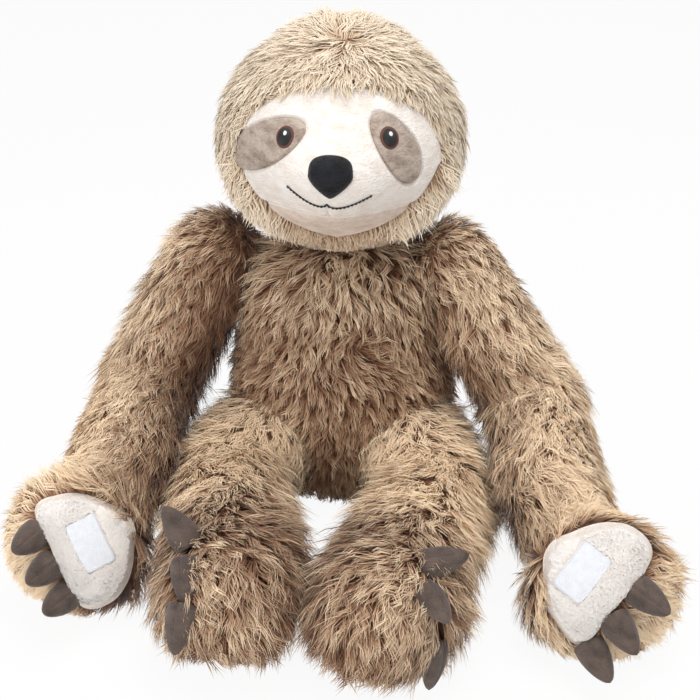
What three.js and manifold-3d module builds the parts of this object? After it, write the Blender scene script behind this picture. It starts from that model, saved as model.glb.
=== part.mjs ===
// A plush sloth that sits with its legs drawn up in front and its palms turned forward.
// Millimetres, +Z up, -Y towards the viewer, +X to the sloth's own left.
// The origin is on the flat of the seat, under the middle of the body.
import * as THREE from "three";
import { mergeVertices } from "three/addons/utils/BufferGeometryUtils.js";
import Module from "manifold-3d";

const wasm = await Module();
wasm.setup();

// Cloth: a long-pile cover, and the short plush of the face and palms.
const pileHeight = 11;
const backingThickness = 1.5;
const coverWall = pileHeight + backingThickness;
const shortPlush = 3;
const seamGap = 0.4;
const ballSlack = 0.9;
const flatDepth = 0.5;
const bodyRoom = 3.2;
const surfaceTolerance = 0.1;
const fillingMouth = 14;
const faceBacking = 1.2;

// Body.
const torsoHeight = 206;
const torsoHalfWidth = 86;
const torsoFront = 68;
const torsoBack = 62;

// Head, on a firm ball of filling at the neck seam.
const neckBallRadius = 40;
const neckDrop = 9;
const headHalfWidth = 86;
const headHalfDepth = 80;
const headHalfHeight = 80;
const headRise = 74;
const headForward = 8;
const headTiltAngle = 5;
const headTurnAngle = 3;
const chinClearanceAngle = 12;

// Face, set back from the tips of the hood's pile. Spans and places on it are angles seen
// from the middle of the head, in degrees.
const faceSet = 10;
const muzzleRise = 20;
const muzzleHalfAcrossAngle = 27;
const muzzleHalfUpAngle = 21;
const muzzleUpAngle = -6;
const faceHalfAcrossAngle = 61;
const faceHalfUpAngle = 45;
const faceUpAngle = -3;
const cheekNotchShare = 0.14;
const chinSeamDrop = 29;
const eyeUpAngle = 14;
const eyeHalfAngle = 5.1;
const eyeThickness = 1.6;
const noseAcrossAngle = -1.7;
const noseUpAngle = 0;
const noseHalfAcrossAngle = 8.8;
const noseHalfUpAngle = 8.3;
const noseThickness = 8;
const smileThread = 1.6;

// Arms.
const shoulderUpShare = 0.884;
const shoulderOut = 80;
const shoulderRadius = 34;
const elbowHeight = 88;
const elbowRadius = 34;
const wristRadius = 32;
const elbowLimitAngle = 40;
const handHalfAcross = 52;
const handHalfLong = 50;
const handHalfThick = 28;
const palmTurnAngle = 5;
const palmTiltAngle = 31;

// Palm pads and the fastening tapes sewn on them.
const padReach = 40;
const padFront = 9;
const padBackset = 15;
const padDepth = 9;
const padCrown = 2;
const tapeLength = 34;
const tapeWidth = 20;
const tapeProud = 1;

// Legs.
const hipOut = 50;
const hipForward = 30;
const hipHeight = 45;
const hipRadius = 43;
const kneeHeight = 42;
const kneeRadius = 38;
const hipLimitAngle = 30;
const kneeLimitAngle = 30;
const footHalfWidth = 47;
const footHalfHeight = 47;
const footHalfLong = 56;

// Claws.
const clawLength = 27;
const clawHalfWidth = 9.5;
const clawHalfThick = 8;
const clawCurl = 5;
const clawSpacing = 22;
const clawInset = 2;
const clawSink = 4;

// What differs between the two sides, as the toy was sewn and set down. clawTurnShares turn
// the hand's claws across the knuckles. Each row of footClawShares says where a foot claw
// comes through the pile and then the way it points, both as shares out, forward and up.
const leftSide = {
  name: "left",
  sign: 1,
  eyeOutAngle: 26,
  patchOutAngle: 31,
  patchUpAngle: 8.5,
  patchHalfLongAngle: 20.5,
  patchHalfShortAngle: 10.5,
  patchSlopeAngle: -58,
  elbowOut: 150,
  elbowForward: 33,
  handOut: 175,
  handForward: 174,
  fingerDropAngle: 38,
  padShift: 2,
  tapeShift: -21,
  clawShift: -8,
  clawLiftAngle: 42,
  clawTurnShares: [-0.5, -0.45, 0.05],
  kneeOut: 80,
  kneeForward: 92,
  footOut: 46,
  footForward: 194,
  footClawShares: [
    [0.52, 0.16, 0.84, 0.9, -0.1, 0.42],
    [0.54, 0.47, 0.7, 0.56, 0.8, 0.2],
    [0.72, 0.69, -0.02, 0.1, 0.7, -0.7],
  ],
};
const rightSide = {
  name: "right",
  sign: -1,
  eyeOutAngle: 25,
  patchOutAngle: 40.5,
  patchUpAngle: 8,
  patchHalfLongAngle: 28,
  patchHalfShortAngle: 11.2,
  patchSlopeAngle: -25,
  elbowOut: 152,
  elbowForward: 28,
  handOut: 159,
  handForward: 166,
  fingerDropAngle: 26,
  padShift: 1,
  tapeShift: -17,
  clawShift: 2,
  clawLiftAngle: 58,
  clawTurnShares: [0.4, 0.25, 0.14],
  kneeOut: 82,
  kneeForward: 84,
  footOut: 59,
  footForward: 192,
  footClawShares: [
    [0.38, 0.12, 0.92, 0.6, -0.3, 0.75],
    [0.37, 0.37, 0.85, -0.1, 0.9, -0.3],
    [0.31, 0.82, 0.48, 0.15, 0.85, -0.5],
  ],
};

const xAxis = new THREE.Vector3(1, 0, 0);
const zAxis = new THREE.Vector3(0, 0, 1);
const reachAll = torsoHeight + 2 * headHalfHeight;

const radians = THREE.MathUtils.degToRad;
const at = (x, y, z) => new THREE.Vector3(x, y, z);
const neck = at(0, 0, torsoHeight - neckDrop);
const headCentre = at(0, -headForward, neck.z + headRise);

// A closed three.js geometry as a solid that can be joined and cut.
function solidOf(geometry) {
  const bare = geometry.clone();
  bare.deleteAttribute("normal");
  bare.deleteAttribute("uv");
  const merged = mergeVertices(bare);
  return new wasm.Manifold(
    new wasm.Mesh({
      numProp: 3,
      vertProperties: new Float32Array(merged.attributes.position.array),
      triVerts: new Uint32Array(merged.index.array),
    }),
  );
}

// A cut solid as a three.js geometry again.
function geometryOf(solid) {
  const mesh = solid.getMesh();
  const geometry = new THREE.BufferGeometry();
  const position = new THREE.BufferAttribute(new Float32Array(mesh.vertProperties), 3);
  geometry.setAttribute("position", position);
  geometry.setIndex(new THREE.BufferAttribute(new Uint32Array(mesh.triVerts), 1));
  geometry.computeVertexNormals();
  return geometry;
}

// A closed skin over rings of equally many points, with a fan at each end.
function skinOf(rings, first, last) {
  const sides = rings[0].length;
  const points = [first, ...rings.flat(), last];
  const faces = [];
  for (let side = 0; side < sides; side++) {
    const next = (side + 1) % sides;
    faces.push(0, 1 + next, 1 + side);
    for (let ring = 0; ring + 1 < rings.length; ring++) {
      const low = 1 + ring * sides;
      const high = low + sides;
      faces.push(low + side, low + next, high + next, low + side, high + next, high + side);
    }
    const top = 1 + (rings.length - 1) * sides;
    faces.push(top + side, top + next, points.length - 1);
  }
  const geometry = new THREE.BufferGeometry().setFromPoints(points);
  geometry.setIndex(faces);
  const solid = solidOf(geometry);
  if (solid.volume() > 0) return solid;
  for (let i = 0; i < faces.length; i += 3) [faces[i], faces[i + 1]] = [faces[i + 1], faces[i]];
  geometry.setIndex(faces);
  return solidOf(geometry);
}

function ball(radius, centre, detail = 3) {
  const geometry = new THREE.IcosahedronGeometry(radius, detail);
  geometry.translate(centre.x, centre.y, centre.z);
  return solidOf(geometry);
}

// The ball at a limb's pivot: fine outside, where it turns in its socket, and coarse inside.
function pivotBall(radius, centre, inset) {
  return ball(radius - inset, centre, inset > 0 ? 1 : 3);
}

// A ball stretched along three directions that are square to each other.
function stretchedBall(centre, directions, halves, segments, rows) {
  const geometry = new THREE.SphereGeometry(1, segments, rows);
  const [a, b, c] = directions.map((d, i) => d.clone().multiplyScalar(halves[i]));
  geometry.applyMatrix4(new THREE.Matrix4().makeBasis(a, b, c).setPosition(centre));
  return solidOf(geometry);
}

// A round rod from one point towards another, used to cut.
function rod(start, towards, radius, length) {
  const along = towards.clone().sub(start).normalize();
  const geometry = new THREE.CylinderGeometry(radius, radius, length, 12);
  geometry.translate(0, length / 2, 0);
  geometry.applyQuaternion(new THREE.Quaternion().setFromUnitVectors(at(0, 1, 0), along));
  geometry.translate(start.x, start.y, start.z);
  return solidOf(geometry);
}

// A smooth value through a table of shares, by the share along it in the first column.
function smoothShare(table, share, column) {
  let row = 0;
  while (row < table.length - 2 && share > table[row + 1][0]) row++;
  const [from, to] = [table[row], table[row + 1]];
  const before = table[Math.max(row - 1, 0)];
  const after = table[Math.min(row + 2, table.length - 1)];
  const t = THREE.MathUtils.clamp((share - from[0]) / (to[0] - from[0]), 0, 1);
  const width = to[0] - from[0];
  const slopeIn = ((to[column] - before[column]) / (to[0] - before[0])) * width;
  const slopeOut = ((after[column] - from[column]) / (after[0] - from[0])) * width;
  const [t2, t3] = [t * t, t * t * t];
  return (
    (2 * t3 - 3 * t2 + 1) * from[column] +
    (t3 - 2 * t2 + t) * slopeIn +
    (3 * t2 - 2 * t3) * to[column] +
    (t3 - t2) * slopeOut
  );
}

// Body: a pear that swells to the belly and narrows to the neck, with a flat seat.
// Columns: share of the height, then shares of the half width, front and back.
const torsoGirthShares = [
  [0, 0.6, 0.68, 0.66],
  [0.03, 0.75, 0.8, 0.8],
  [0.1, 0.89, 0.9, 0.92],
  [0.22, 0.98, 0.97, 0.99],
  [0.36, 1, 1, 1],
  [0.5, 0.98, 0.97, 0.97],
  [0.65, 0.92, 0.86, 0.9],
  [0.78, 0.84, 0.74, 0.8],
  [0.88, 0.74, 0.64, 0.7],
  [0.95, 0.57, 0.48, 0.53],
  [0.99, 0.28, 0.25, 0.27],
];

function torsoForm(inset, sides, step = 1) {
  const scale = (half) => (half - inset) / half;
  const height = torsoHeight - 2 * inset;
  const rings = torsoGirthShares
    .filter((row, i) => i % step === 0 || i === torsoGirthShares.length - 1)
    .map(([up, wide, front, back]) =>
      Array.from({ length: sides }, (_, side) => {
        const turn = (2 * Math.PI * side) / sides;
        const depth = Math.sin(turn) < 0 ? torsoFront * front : torsoBack * back;
        return at(
          Math.cos(turn) * wide * torsoHalfWidth * scale(torsoHalfWidth),
          Math.sin(turn) * depth * scale(torsoFront),
          inset + up * height,
        );
      }),
    );
  return skinOf(rings, at(0, 0, inset), at(0, 0, inset + height));
}

// The body's half width at a height, which the arms' seams follow.
function torsoHalfWidthAt(height) {
  return torsoHalfWidth * smoothShare(torsoGirthShares, height / torsoHeight, 1);
}

// Head: the furred outline is a stretched ball, and the face lies inside it, with a muzzle.
const headSquare = new THREE.Quaternion()
  .setFromAxisAngle(zAxis, radians(headTurnAngle))
  .multiply(new THREE.Quaternion().setFromAxisAngle(xAxis, -radians(headTiltAngle)));

function faceDirection(across, up) {
  const [a, e] = [radians(across), radians(up)];
  const direction = at(Math.sin(a) * Math.cos(e), -Math.cos(a) * Math.cos(e), Math.sin(e));
  return direction.applyQuaternion(headSquare);
}

function headReach(direction) {
  const { x, y, z } = direction;
  return 1 / Math.hypot(x / headHalfWidth, y / headHalfDepth, z / headHalfHeight);
}

function faceReach(across, up) {
  const spread = (across / muzzleHalfAcrossAngle) ** 2 + ((up - muzzleUpAngle) / muzzleHalfUpAngle) ** 2;
  return headReach(faceDirection(across, up)) - faceSet + muzzleRise * Math.exp(-spread);
}

function onFace(across, up, proud = 0) {
  const direction = faceDirection(across, up);
  return direction.multiplyScalar(faceReach(across, up) + proud).add(headCentre);
}

// A plate that follows the face between two depths, inside an outline of angles.
// The outline gives [across, up] for a share of the way round; crown lifts the middle.
function facePlate({ outline, middle, low, high, crown = 0, rings = 2, sides = 16 }) {
  const layer = (proud, ring, lift) =>
    Array.from({ length: sides }, (_, side) => {
      const [across, up] = outline(side / sides);
      const share = ring / rings;
      return onFace(
        middle[0] + (across - middle[0]) * share,
        middle[1] + (up - middle[1]) * share,
        proud + lift * Math.sqrt(1 - share * share),
      );
    });
  const under = Array.from({ length: rings }, (_, i) => layer(low, i + 1, 0));
  const over = Array.from({ length: rings }, (_, i) => layer(high, rings - i, crown));
  return skinOf(
    [...under, ...over],
    onFace(middle[0], middle[1], low),
    onFace(middle[0], middle[1], high + crown),
  );
}

const oval = (across, up, halfAcross, halfUp) => (share) => {
  const turn = 2 * Math.PI * share;
  return [across + halfAcross * Math.cos(turn), up + halfUp * Math.sin(turn)];
};

// The face's edge: an oval that the hood pinches in below each cheek.
const faceOutline = (grow) => (share) => {
  const turn = 2 * Math.PI * share;
  const cheek = 2 * Math.max(0, -Math.sin(turn)) * Math.abs(Math.cos(turn));
  const reach = 1 - cheekNotchShare * Math.sqrt(cheek);
  return [
    (faceHalfAcrossAngle * reach + grow) * Math.cos(turn),
    faceUpAngle + (faceHalfUpAngle * reach + grow) * Math.sin(turn),
  ];
};

// An oval whose long way slopes down and out, for the patch round an eye.
const patchOutline = (side, grow) => (share) => {
  const turn = 2 * Math.PI * share;
  const long = (side.patchHalfLongAngle + grow) * Math.cos(turn);
  const short = (side.patchHalfShortAngle + grow) * Math.sin(turn);
  const slope = radians(side.patchSlopeAngle);
  const out = side.patchOutAngle + long * Math.cos(slope) - short * Math.sin(slope);
  const up = side.patchUpAngle + long * Math.sin(slope) + short * Math.cos(slope);
  return [side.sign * out, up];
};

// The nose: broad and nearly straight above, drawn down to a point.
const noseTaperShare = 0.7;
const noseSquareShare = 0.6;
const noseOutline = (share) => {
  const turn = 2 * Math.PI * share;
  const [right, top] = [Math.cos(turn), Math.sin(turn)];
  const down = Math.max(0, -top);
  const taper = 1 - noseTaperShare * down * down;
  const up = top > 0 ? top ** noseSquareShare : top;
  return [noseAcrossAngle + noseHalfAcrossAngle * right * taper, noseUpAngle + noseHalfUpAngle * up];
};

// The smile: two shallow arcs from the cheeks that meet in a peak under the nose, each given
// across and up from the middle of the head.
const smileCornerAngles = [
  [-21, -6.3],
  [15.2, -8.4],
];
const smilePeakAngles = [-3, -9.9];
const smileSagAngle = 3;

// How far the muzzle's filling spreads past its bulge.
const muzzleFillShare = 1.6;

const degreesPerMillimetre = (gap) => THREE.MathUtils.radToDeg(gap / (headHalfWidth - faceSet));

function headForm(inset, segments, rows) {
  const halves = [headHalfWidth, headHalfDepth, headHalfHeight].map((half) => half - inset);
  const directions = [xAxis, zAxis, at(0, -1, 0)];
  return stretchedBall(headCentre, directions, [halves[0], halves[2], halves[1]], segments, rows);
}

// Everything that the head must keep clear of as it nods: the neck ball, and what lies under
// a wide flat cone over the shoulders.
function neckRelief() {
  const rise = reachAll * Math.tan(radians(chinClearanceAngle));
  const slab = new THREE.CylinderGeometry(reachAll, reachAll, reachAll + rise, 32);
  slab.rotateX(Math.PI / 2);
  slab.translate(neck.x, neck.y, neck.z + (rise - reachAll) / 2);
  const cone = new THREE.ConeGeometry(2 * reachAll, 2 * rise, 32);
  cone.rotateX(-Math.PI / 2);
  cone.translate(neck.x, neck.y, neck.z + rise);
  return solidOf(slab).subtract(solidOf(cone)).add(ball(neckBallRadius + ballSlack, neck));
}

// A limb between pivots: rings square to a smooth path, each with its own half width.
function limbForm(path, halves, inset, sides, rings) {
  const curve = new THREE.CatmullRomCurve3(path);
  const table = halves.map((half, i) => [i / (halves.length - 1), half]);
  const side = new THREE.Vector3();
  const skins = Array.from({ length: rings }, (_, ring) => {
    const share = ring / (rings - 1);
    const centre = curve.getPoint(share);
    const along = curve.getTangent(share);
    side.crossVectors(along, zAxis).normalize();
    const rise = new THREE.Vector3().crossVectors(side, along);
    const half = smoothShare(table, share, 1) - inset;
    return Array.from({ length: sides }, (_, i) => {
      const turn = (2 * Math.PI * i) / sides;
      return centre
        .clone()
        .addScaledVector(side, half * Math.cos(turn))
        .addScaledVector(rise, half * Math.sin(turn));
    });
  });
  return skinOf(skins, path[0], path[path.length - 1]);
}

// The room that a limb keeps at a pivot whose axis lies along X: a wedge round its own
// direction, whose edges leave the other limb free to lift from rest to its limit.
// The sign is 1 for the limb that lifts and -1 for the one that carries it.
function wedgeAt(pivot, own, other, sign, limit) {
  const angleOf = (v) => Math.atan2(v.z, -v.y);
  const turned = sign * (angleOf(other) - angleOf(own));
  const between = turned < 0 ? turned + 2 * Math.PI : turned;
  const closing = angleOf(own) + (sign * (between - radians(limit))) / 2;
  const opening = angleOf(own) - sign * (Math.PI - between / 2);
  const middle = (closing + opening) / 2;
  const corner = (angle, reach) => new THREE.Vector2(-Math.cos(angle), Math.sin(angle)).multiplyScalar(reach);
  return (inset) => {
    const near = corner(middle, (seamGap + inset) / Math.sin(Math.abs(closing - middle)));
    const far = [closing, middle, opening].map((angle) => corner(angle, reachAll).add(near));
    const shape = new THREE.Shape([near, ...far]);
    const geometry = new THREE.ExtrudeGeometry(shape, { depth: 2 * reachAll, bevelEnabled: false });
    geometry.translate(0, 0, -reachAll);
    const upright = new THREE.Matrix4().makeBasis(at(0, 1, 0), zAxis, xAxis).setPosition(pivot);
    geometry.applyMatrix4(upright);
    return solidOf(geometry);
  };
}

// The table that the toy sits on, which flattens what rests on it.
const floorBlock = solidOf(
  new THREE.BoxGeometry(4 * reachAll, 4 * reachAll, reachAll).translate(0, 0, -reachAll / 2),
);

const sloth = new THREE.Group();
const furCloth = { color: 0xb29473, roughness: 0.9, metalness: 0 };
const hoodCloth = { color: 0xcdb393, roughness: 0.9, metalness: 0 };
const fillingFibre = { color: 0xf2efe8, roughness: 1, metalness: 0 };
const creamPlush = { color: 0xf0e4da, roughness: 0.85, metalness: 0 };
const greyPlush = { color: 0x978a7e, roughness: 0.85, metalness: 0 };
const clawPlush = { color: 0x756a62, roughness: 0.85, metalness: 0 };
const blackSatin = { color: 0x16161a, roughness: 0.45, metalness: 0 };
const blackThread = { color: 0x1c1815, roughness: 0.6, metalness: 0 };
const tapeWhite = { color: 0xf2f3f8, roughness: 0.7, metalness: 0 };

function place(name, solid, finish) {
  const geometry = geometryOf(solid.simplify(surfaceTolerance));
  const mesh = new THREE.Mesh(geometry, new THREE.MeshStandardMaterial(finish));
  mesh.name = name;
  sloth.add(mesh);
}

// The biggest body of a cut solid, without its crumbs.
function largest(solid) {
  return solid.decompose().sort((a, b) => b.volume() - a.volume())[0];
}

// A stuffed piece: the cover is a wall with the filling inside it, and both take the same cuts.
function placeStuffed(name, form, cuts, mouth, finish) {
  const clear = (solid) => cuts.reduce((left, cut) => left.subtract(cut), solid.subtract(floorBlock));
  const cover = form(0).subtract(form(coverWall));
  place(`${name}_cover`, clear(mouth ? cover.subtract(mouth) : cover), finish);
  place(`${name}_filling`, largest(clear(form(coverWall + seamGap))), fillingFibre);
}

// The palm faces forwards and up, and each hand's fingers drop by their own angle.
function handFrame(side) {
  const [turn, tilt, drop] = [palmTurnAngle, palmTiltAngle, side.fingerDropAngle].map(radians);
  const palmAcross = at(Math.cos(turn), Math.sin(turn), 0);
  const palmOut = at(Math.sin(turn) * Math.cos(tilt), -Math.cos(turn) * Math.cos(tilt), Math.sin(tilt));
  const palmUp = new THREE.Vector3().crossVectors(palmOut, palmAcross);
  const fingers = palmAcross
    .multiplyScalar(side.sign * Math.cos(drop))
    .addScaledVector(palmUp, -Math.sin(drop));
  const knuckles = new THREE.Vector3().crossVectors(palmOut, fingers);
  const directions = [fingers, knuckles, palmOut];
  const halves = [handHalfLong, handHalfAcross, handHalfThick];
  const rise = Math.hypot(...directions.map((direction, i) => direction.z * halves[i]));
  return { centre: at(side.sign * side.handOut, -side.handForward, rise - flatDepth), directions, halves };
}

// The pivots of one side's arm and leg.
function limbFrame(side) {
  const hand = handFrame(side);
  return {
    shoulder: at(side.sign * shoulderOut, 0, shoulderUpShare * torsoHeight),
    elbow: at(side.sign * side.elbowOut, -side.elbowForward, elbowHeight),
    hand: hand.centre,
    padShift: side.padShift,
    fingers: hand.directions[0],
    knuckles: hand.directions[1],
    palmOut: hand.directions[2],
    handHalves: hand.halves,
    hip: at(side.sign * hipOut, -hipForward, hipHeight),
    knee: at(side.sign * side.kneeOut, -side.kneeForward, kneeHeight),
    foot: at(side.sign * side.footOut, -side.footForward, footHalfHeight - flatDepth),
  };
}

// What the arm must keep clear of as it swings: the body's side, turned about the shoulder.
function shoulderDish(side, shoulder, inset) {
  const steps = 7;
  let widest = 0;
  const profile = [new THREE.Vector2(reachAll, 0), new THREE.Vector2(0, 0)];
  for (let i = 0; i <= steps; i++) {
    const out = ((elbowRadius + shoulderRadius) * i) / steps;
    widest = Math.max(widest, torsoHalfWidthAt(shoulder.z - out) + seamGap + inset);
    profile.push(new THREE.Vector2(out, widest));
  }
  profile.push(new THREE.Vector2(reachAll, torsoHalfWidth + seamGap + inset), profile[0]);
  const dish = new THREE.LatheGeometry(profile.reverse(), 20);
  dish.rotateZ((-side.sign * Math.PI) / 2);
  dish.translate(0, shoulder.y, shoulder.z);
  return solidOf(dish);
}

// What the thigh must keep clear of as it lifts: the body, turned back about the hip.
function hipClearance(hip, inset) {
  const steps = 2;
  const body = torsoForm(-bodyRoom - inset, 18, 2);
  const turned = Array.from({ length: steps + 1 }, (_, i) => {
    const back = new THREE.Matrix4()
      .makeTranslation(hip)
      .multiply(new THREE.Matrix4().makeRotationX((radians(hipLimitAngle) * i) / steps))
      .multiply(new THREE.Matrix4().makeTranslation(hip.clone().negate()));
    return body.transform(back.elements);
  });
  return turned.reduce((all, one) => all.add(one));
}

const away = (from, to) => to.clone().sub(from);

function upperArmForm(side, frame) {
  const { shoulder, elbow } = frame;
  const wedge = wedgeAt(elbow, away(elbow, shoulder), away(elbow, frame.hand), -1, elbowLimitAngle);
  return (inset) =>
    limbForm([shoulder, elbow], [shoulderRadius, elbowRadius], inset, inset > 0 ? 8 : 12, 3)
      .intersect(wedge(inset))
      .add(ball(shoulderRadius - inset, shoulder, inset > 0 ? 1 : 2))
      .subtract(shoulderDish(side, shoulder, inset));
}

function handBall(frame, inset, proud = 0) {
  const halves = frame.handHalves.map((half) => half - inset + proud);
  const directions = [frame.fingers, frame.knuckles, frame.palmOut];
  return stretchedBall(frame.hand, directions, halves, inset > 0 ? 8 : 16, inset > 0 ? 5 : 9);
}

function forearmForm(frame) {
  const { shoulder, elbow, hand } = frame;
  const wedge = wedgeAt(elbow, away(elbow, hand), away(elbow, shoulder), 1, elbowLimitAngle);
  const halves = [elbowRadius, elbowRadius, wristRadius, handHalfThick];
  return (inset) =>
    limbForm([elbow, hand], halves, inset, inset > 0 ? 8 : 12, inset > 0 ? 3 : 5)
      .intersect(wedge(inset))
      .add(pivotBall(elbowRadius, elbow, inset))
      .add(handBall(frame, inset));
}

function thighForm(frame) {
  const { hip, knee, foot } = frame;
  const wedge = wedgeAt(knee, away(knee, hip), away(knee, foot), -1, kneeLimitAngle);
  return (inset) =>
    limbForm([hip, knee], [hipRadius, kneeRadius], inset, inset > 0 ? 8 : 12, 3)
      .intersect(wedge(inset))
      .subtract(hipClearance(hip, inset))
      .add(pivotBall(hipRadius, hip, inset))
      .add(rod(hip, knee, Math.min(fillingMouth, hipRadius - inset - fillingMouth), hip.distanceTo(knee)));
}

function footForm(frame) {
  const { hip, knee, foot } = frame;
  const wedge = wedgeAt(knee, away(knee, foot), away(knee, hip), 1, kneeLimitAngle);
  const along = away(knee, foot).projectOnPlane(zAxis).normalize();
  const across = new THREE.Vector3().crossVectors(zAxis, along);
  const shinHalves = [kneeRadius, kneeRadius, footHalfHeight];
  return (inset) => {
    const halves = [footHalfWidth, footHalfLong, footHalfHeight].map((half) => half - inset);
    const directions = [across, along.clone().negate(), zAxis];
    return limbForm([knee, foot], shinHalves, inset, inset > 0 ? 8 : 12, inset > 0 ? 3 : 4)
      .intersect(wedge(inset))
      .add(pivotBall(kneeRadius, knee, inset))
      .add(stretchedBall(foot, directions, halves, inset > 0 ? 8 : 16, inset > 0 ? 5 : 9));
  };
}

// A point over the palm, by its place along the fingers and across the knuckles.
function overPalm(frame, long, across, proud) {
  const [halfLong, halfAcross, halfThick] = frame.handHalves;
  const rise = halfThick * Math.sqrt(1 - (long / halfLong) ** 2 - (across / halfAcross) ** 2);
  return frame.hand
    .clone()
    .addScaledVector(frame.fingers, long)
    .addScaledVector(frame.knuckles, across)
    .addScaledVector(frame.palmOut, rise + proud);
}

// The palm pad's outline: how far it reaches from its middle at equal turns, starting where
// the claws are sewn in, which is straight. It is round at the wrist.
const padReachShares = [
  0.62, 0.73, 1.06, 1.01, 0.84, 0.7, 0.63, 0.65, 0.65, 0.62, 0.65, 0.76, 0.9, 1.04, 0.69, 0.6,
];
function padForm(frame, grow, low, high, crown) {
  const rings = 3;
  const layer = (proud, ring, lift) =>
    padReachShares.map((reachShare, side) => {
      const turn = (2 * Math.PI * (side + 1 / 2)) / padReachShares.length;
      const share = ring / rings;
      const reach = (padReach * reachShare + grow) * share;
      const long = reach * Math.cos(turn) - padBackset;
      const across = reach * Math.sin(turn) + frame.padShift;
      return overPalm(frame, long, across, proud + lift * Math.sqrt(1 - share * share));
    });
  const under = Array.from({ length: rings }, (_, i) => layer(low, i + 1, 0));
  const over = Array.from({ length: rings }, (_, i) => layer(high, rings - i, crown));
  return skinOf(
    [...under, ...over],
    overPalm(frame, -padBackset, frame.padShift, low),
    overPalm(frame, -padBackset, frame.padShift, high + crown),
  );
}

// A claw: a padded horn that starts under the pile, tapers and curls to a round tip.
const clawTaperShares = [
  [0, 0.95],
  [0.35, 1],
  [0.7, 0.78],
  [0.92, 0.44],
  [1, 0.2],
];
function clawForm(root, along, lift) {
  const wide = new THREE.Vector3().crossVectors(along, lift).normalize();
  const rise = new THREE.Vector3().crossVectors(wide, along).normalize();
  const sides = 8;
  const centreAt = (share) =>
    root
      .clone()
      .addScaledVector(along, clawLength * share)
      .addScaledVector(rise, -clawCurl * share * share);
  const rings = clawTaperShares.map(([share, size]) =>
    Array.from({ length: sides }, (_, side) => {
      const turn = (2 * Math.PI * side) / sides;
      return centreAt(share)
        .addScaledVector(wide, clawHalfWidth * size * Math.cos(turn))
        .addScaledVector(rise, clawHalfThick * size * Math.sin(turn));
    }),
  );
  return skinOf(rings, centreAt(0), centreAt(1));
}

function placeTorso(frames) {
  const sockets = frames.map(({ hip }) => ball(hipRadius + ballSlack, hip));
  const seat = ball(neckBallRadius + ballSlack, neck);
  const form = (inset) => torsoForm(inset, inset > 0 ? 14 : 24, inset > 0 ? 2 : 1);
  placeStuffed("torso", form, [...sockets, seat], null, furCloth);
  place("neck_filling", ball(neckBallRadius, neck), fillingFibre);
}

function placeHead() {
  const middle = [0, faceUpAngle];
  const plate = (grow, low, high) =>
    facePlate({ outline: faceOutline(degreesPerMillimetre(grow)), middle, low, high, rings: 5, sides: 24 });
  const relief = neckRelief();
  const opening = plate(seamGap, -muzzleRise - coverWall, 2 * faceSet);
  const shell = headForm(0, 24, 12).subtract(headForm(coverWall, 14, 8));
  place("head_cover", shell.subtract(opening).subtract(relief), hoodCloth);

  const muzzleFill = facePlate({
    outline: oval(
      0,
      muzzleUpAngle,
      muzzleFillShare * muzzleHalfAcrossAngle,
      muzzleFillShare * muzzleHalfUpAngle,
    ),
    middle: [0, muzzleUpAngle],
    low: -muzzleRise - coverWall,
    high: -shortPlush - faceBacking,
  });
  const fill = headForm(faceSet + shortPlush + faceBacking, 14, 8);
  place("head_filling", fill.add(muzzleFill).subtract(relief), fillingFibre);

  const face = plate(0, -shortPlush, 0).subtract(relief);
  placeFaceCloth(face);
  placeFeatures(plate(0, -shortPlush, seamGap));
}

// The face's cloth: a panel above the chin seam and one below it, and a patch at each eye.
function placeFaceCloth(face) {
  const patchAt = (side, grow) =>
    facePlate({
      outline: patchOutline(side, degreesPerMillimetre(grow)),
      middle: [side.sign * side.patchOutAngle, side.patchUpAngle],
      low: -2 * shortPlush,
      high: 2 * shortPlush,
    });
  const belowSeam = new THREE.BoxGeometry(reachAll, reachAll, reachAll);
  belowSeam.translate(0, 0, -chinSeamDrop - reachAll / 2);
  belowSeam.applyQuaternion(headSquare);
  belowSeam.translate(headCentre.x, headCentre.y, headCentre.z);
  const below = solidOf(belowSeam);
  let panel = face.subtract(below.translate(0, 0, seamGap));
  for (const side of [leftSide, rightSide]) {
    panel = panel.subtract(patchAt(side, seamGap));
    place(`${side.name}_eye_patch`, face.intersect(patchAt(side, 0)), greyPlush);
  }
  place("face_panel", panel, creamPlush);
  place("chin_panel", face.intersect(below), creamPlush);
}

// The eyes, nose and smile, which are sewn on the face's cloth.
function placeFeatures(raised) {
  for (const { name, sign, eyeOutAngle } of [leftSide, rightSide]) {
    const eye = facePlate({
      outline: oval(sign * eyeOutAngle, eyeUpAngle, eyeHalfAngle, eyeHalfAngle),
      middle: [sign * eyeOutAngle, eyeUpAngle],
      low: -shortPlush / 2,
      high: seamGap,
      crown: eyeThickness,
      sides: 12,
    });
    place(`${name}_eye`, eye.subtract(raised), blackThread);
  }
  const nose = facePlate({
    outline: noseOutline,
    middle: [noseAcrossAngle, noseUpAngle],
    low: -shortPlush / 2,
    high: 2 * seamGap,
    crown: noseThickness,
    rings: 3,
  });
  place("nose", nose.subtract(raised), blackSatin);
  place("smile", smileForm().subtract(raised), blackThread);
}

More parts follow.
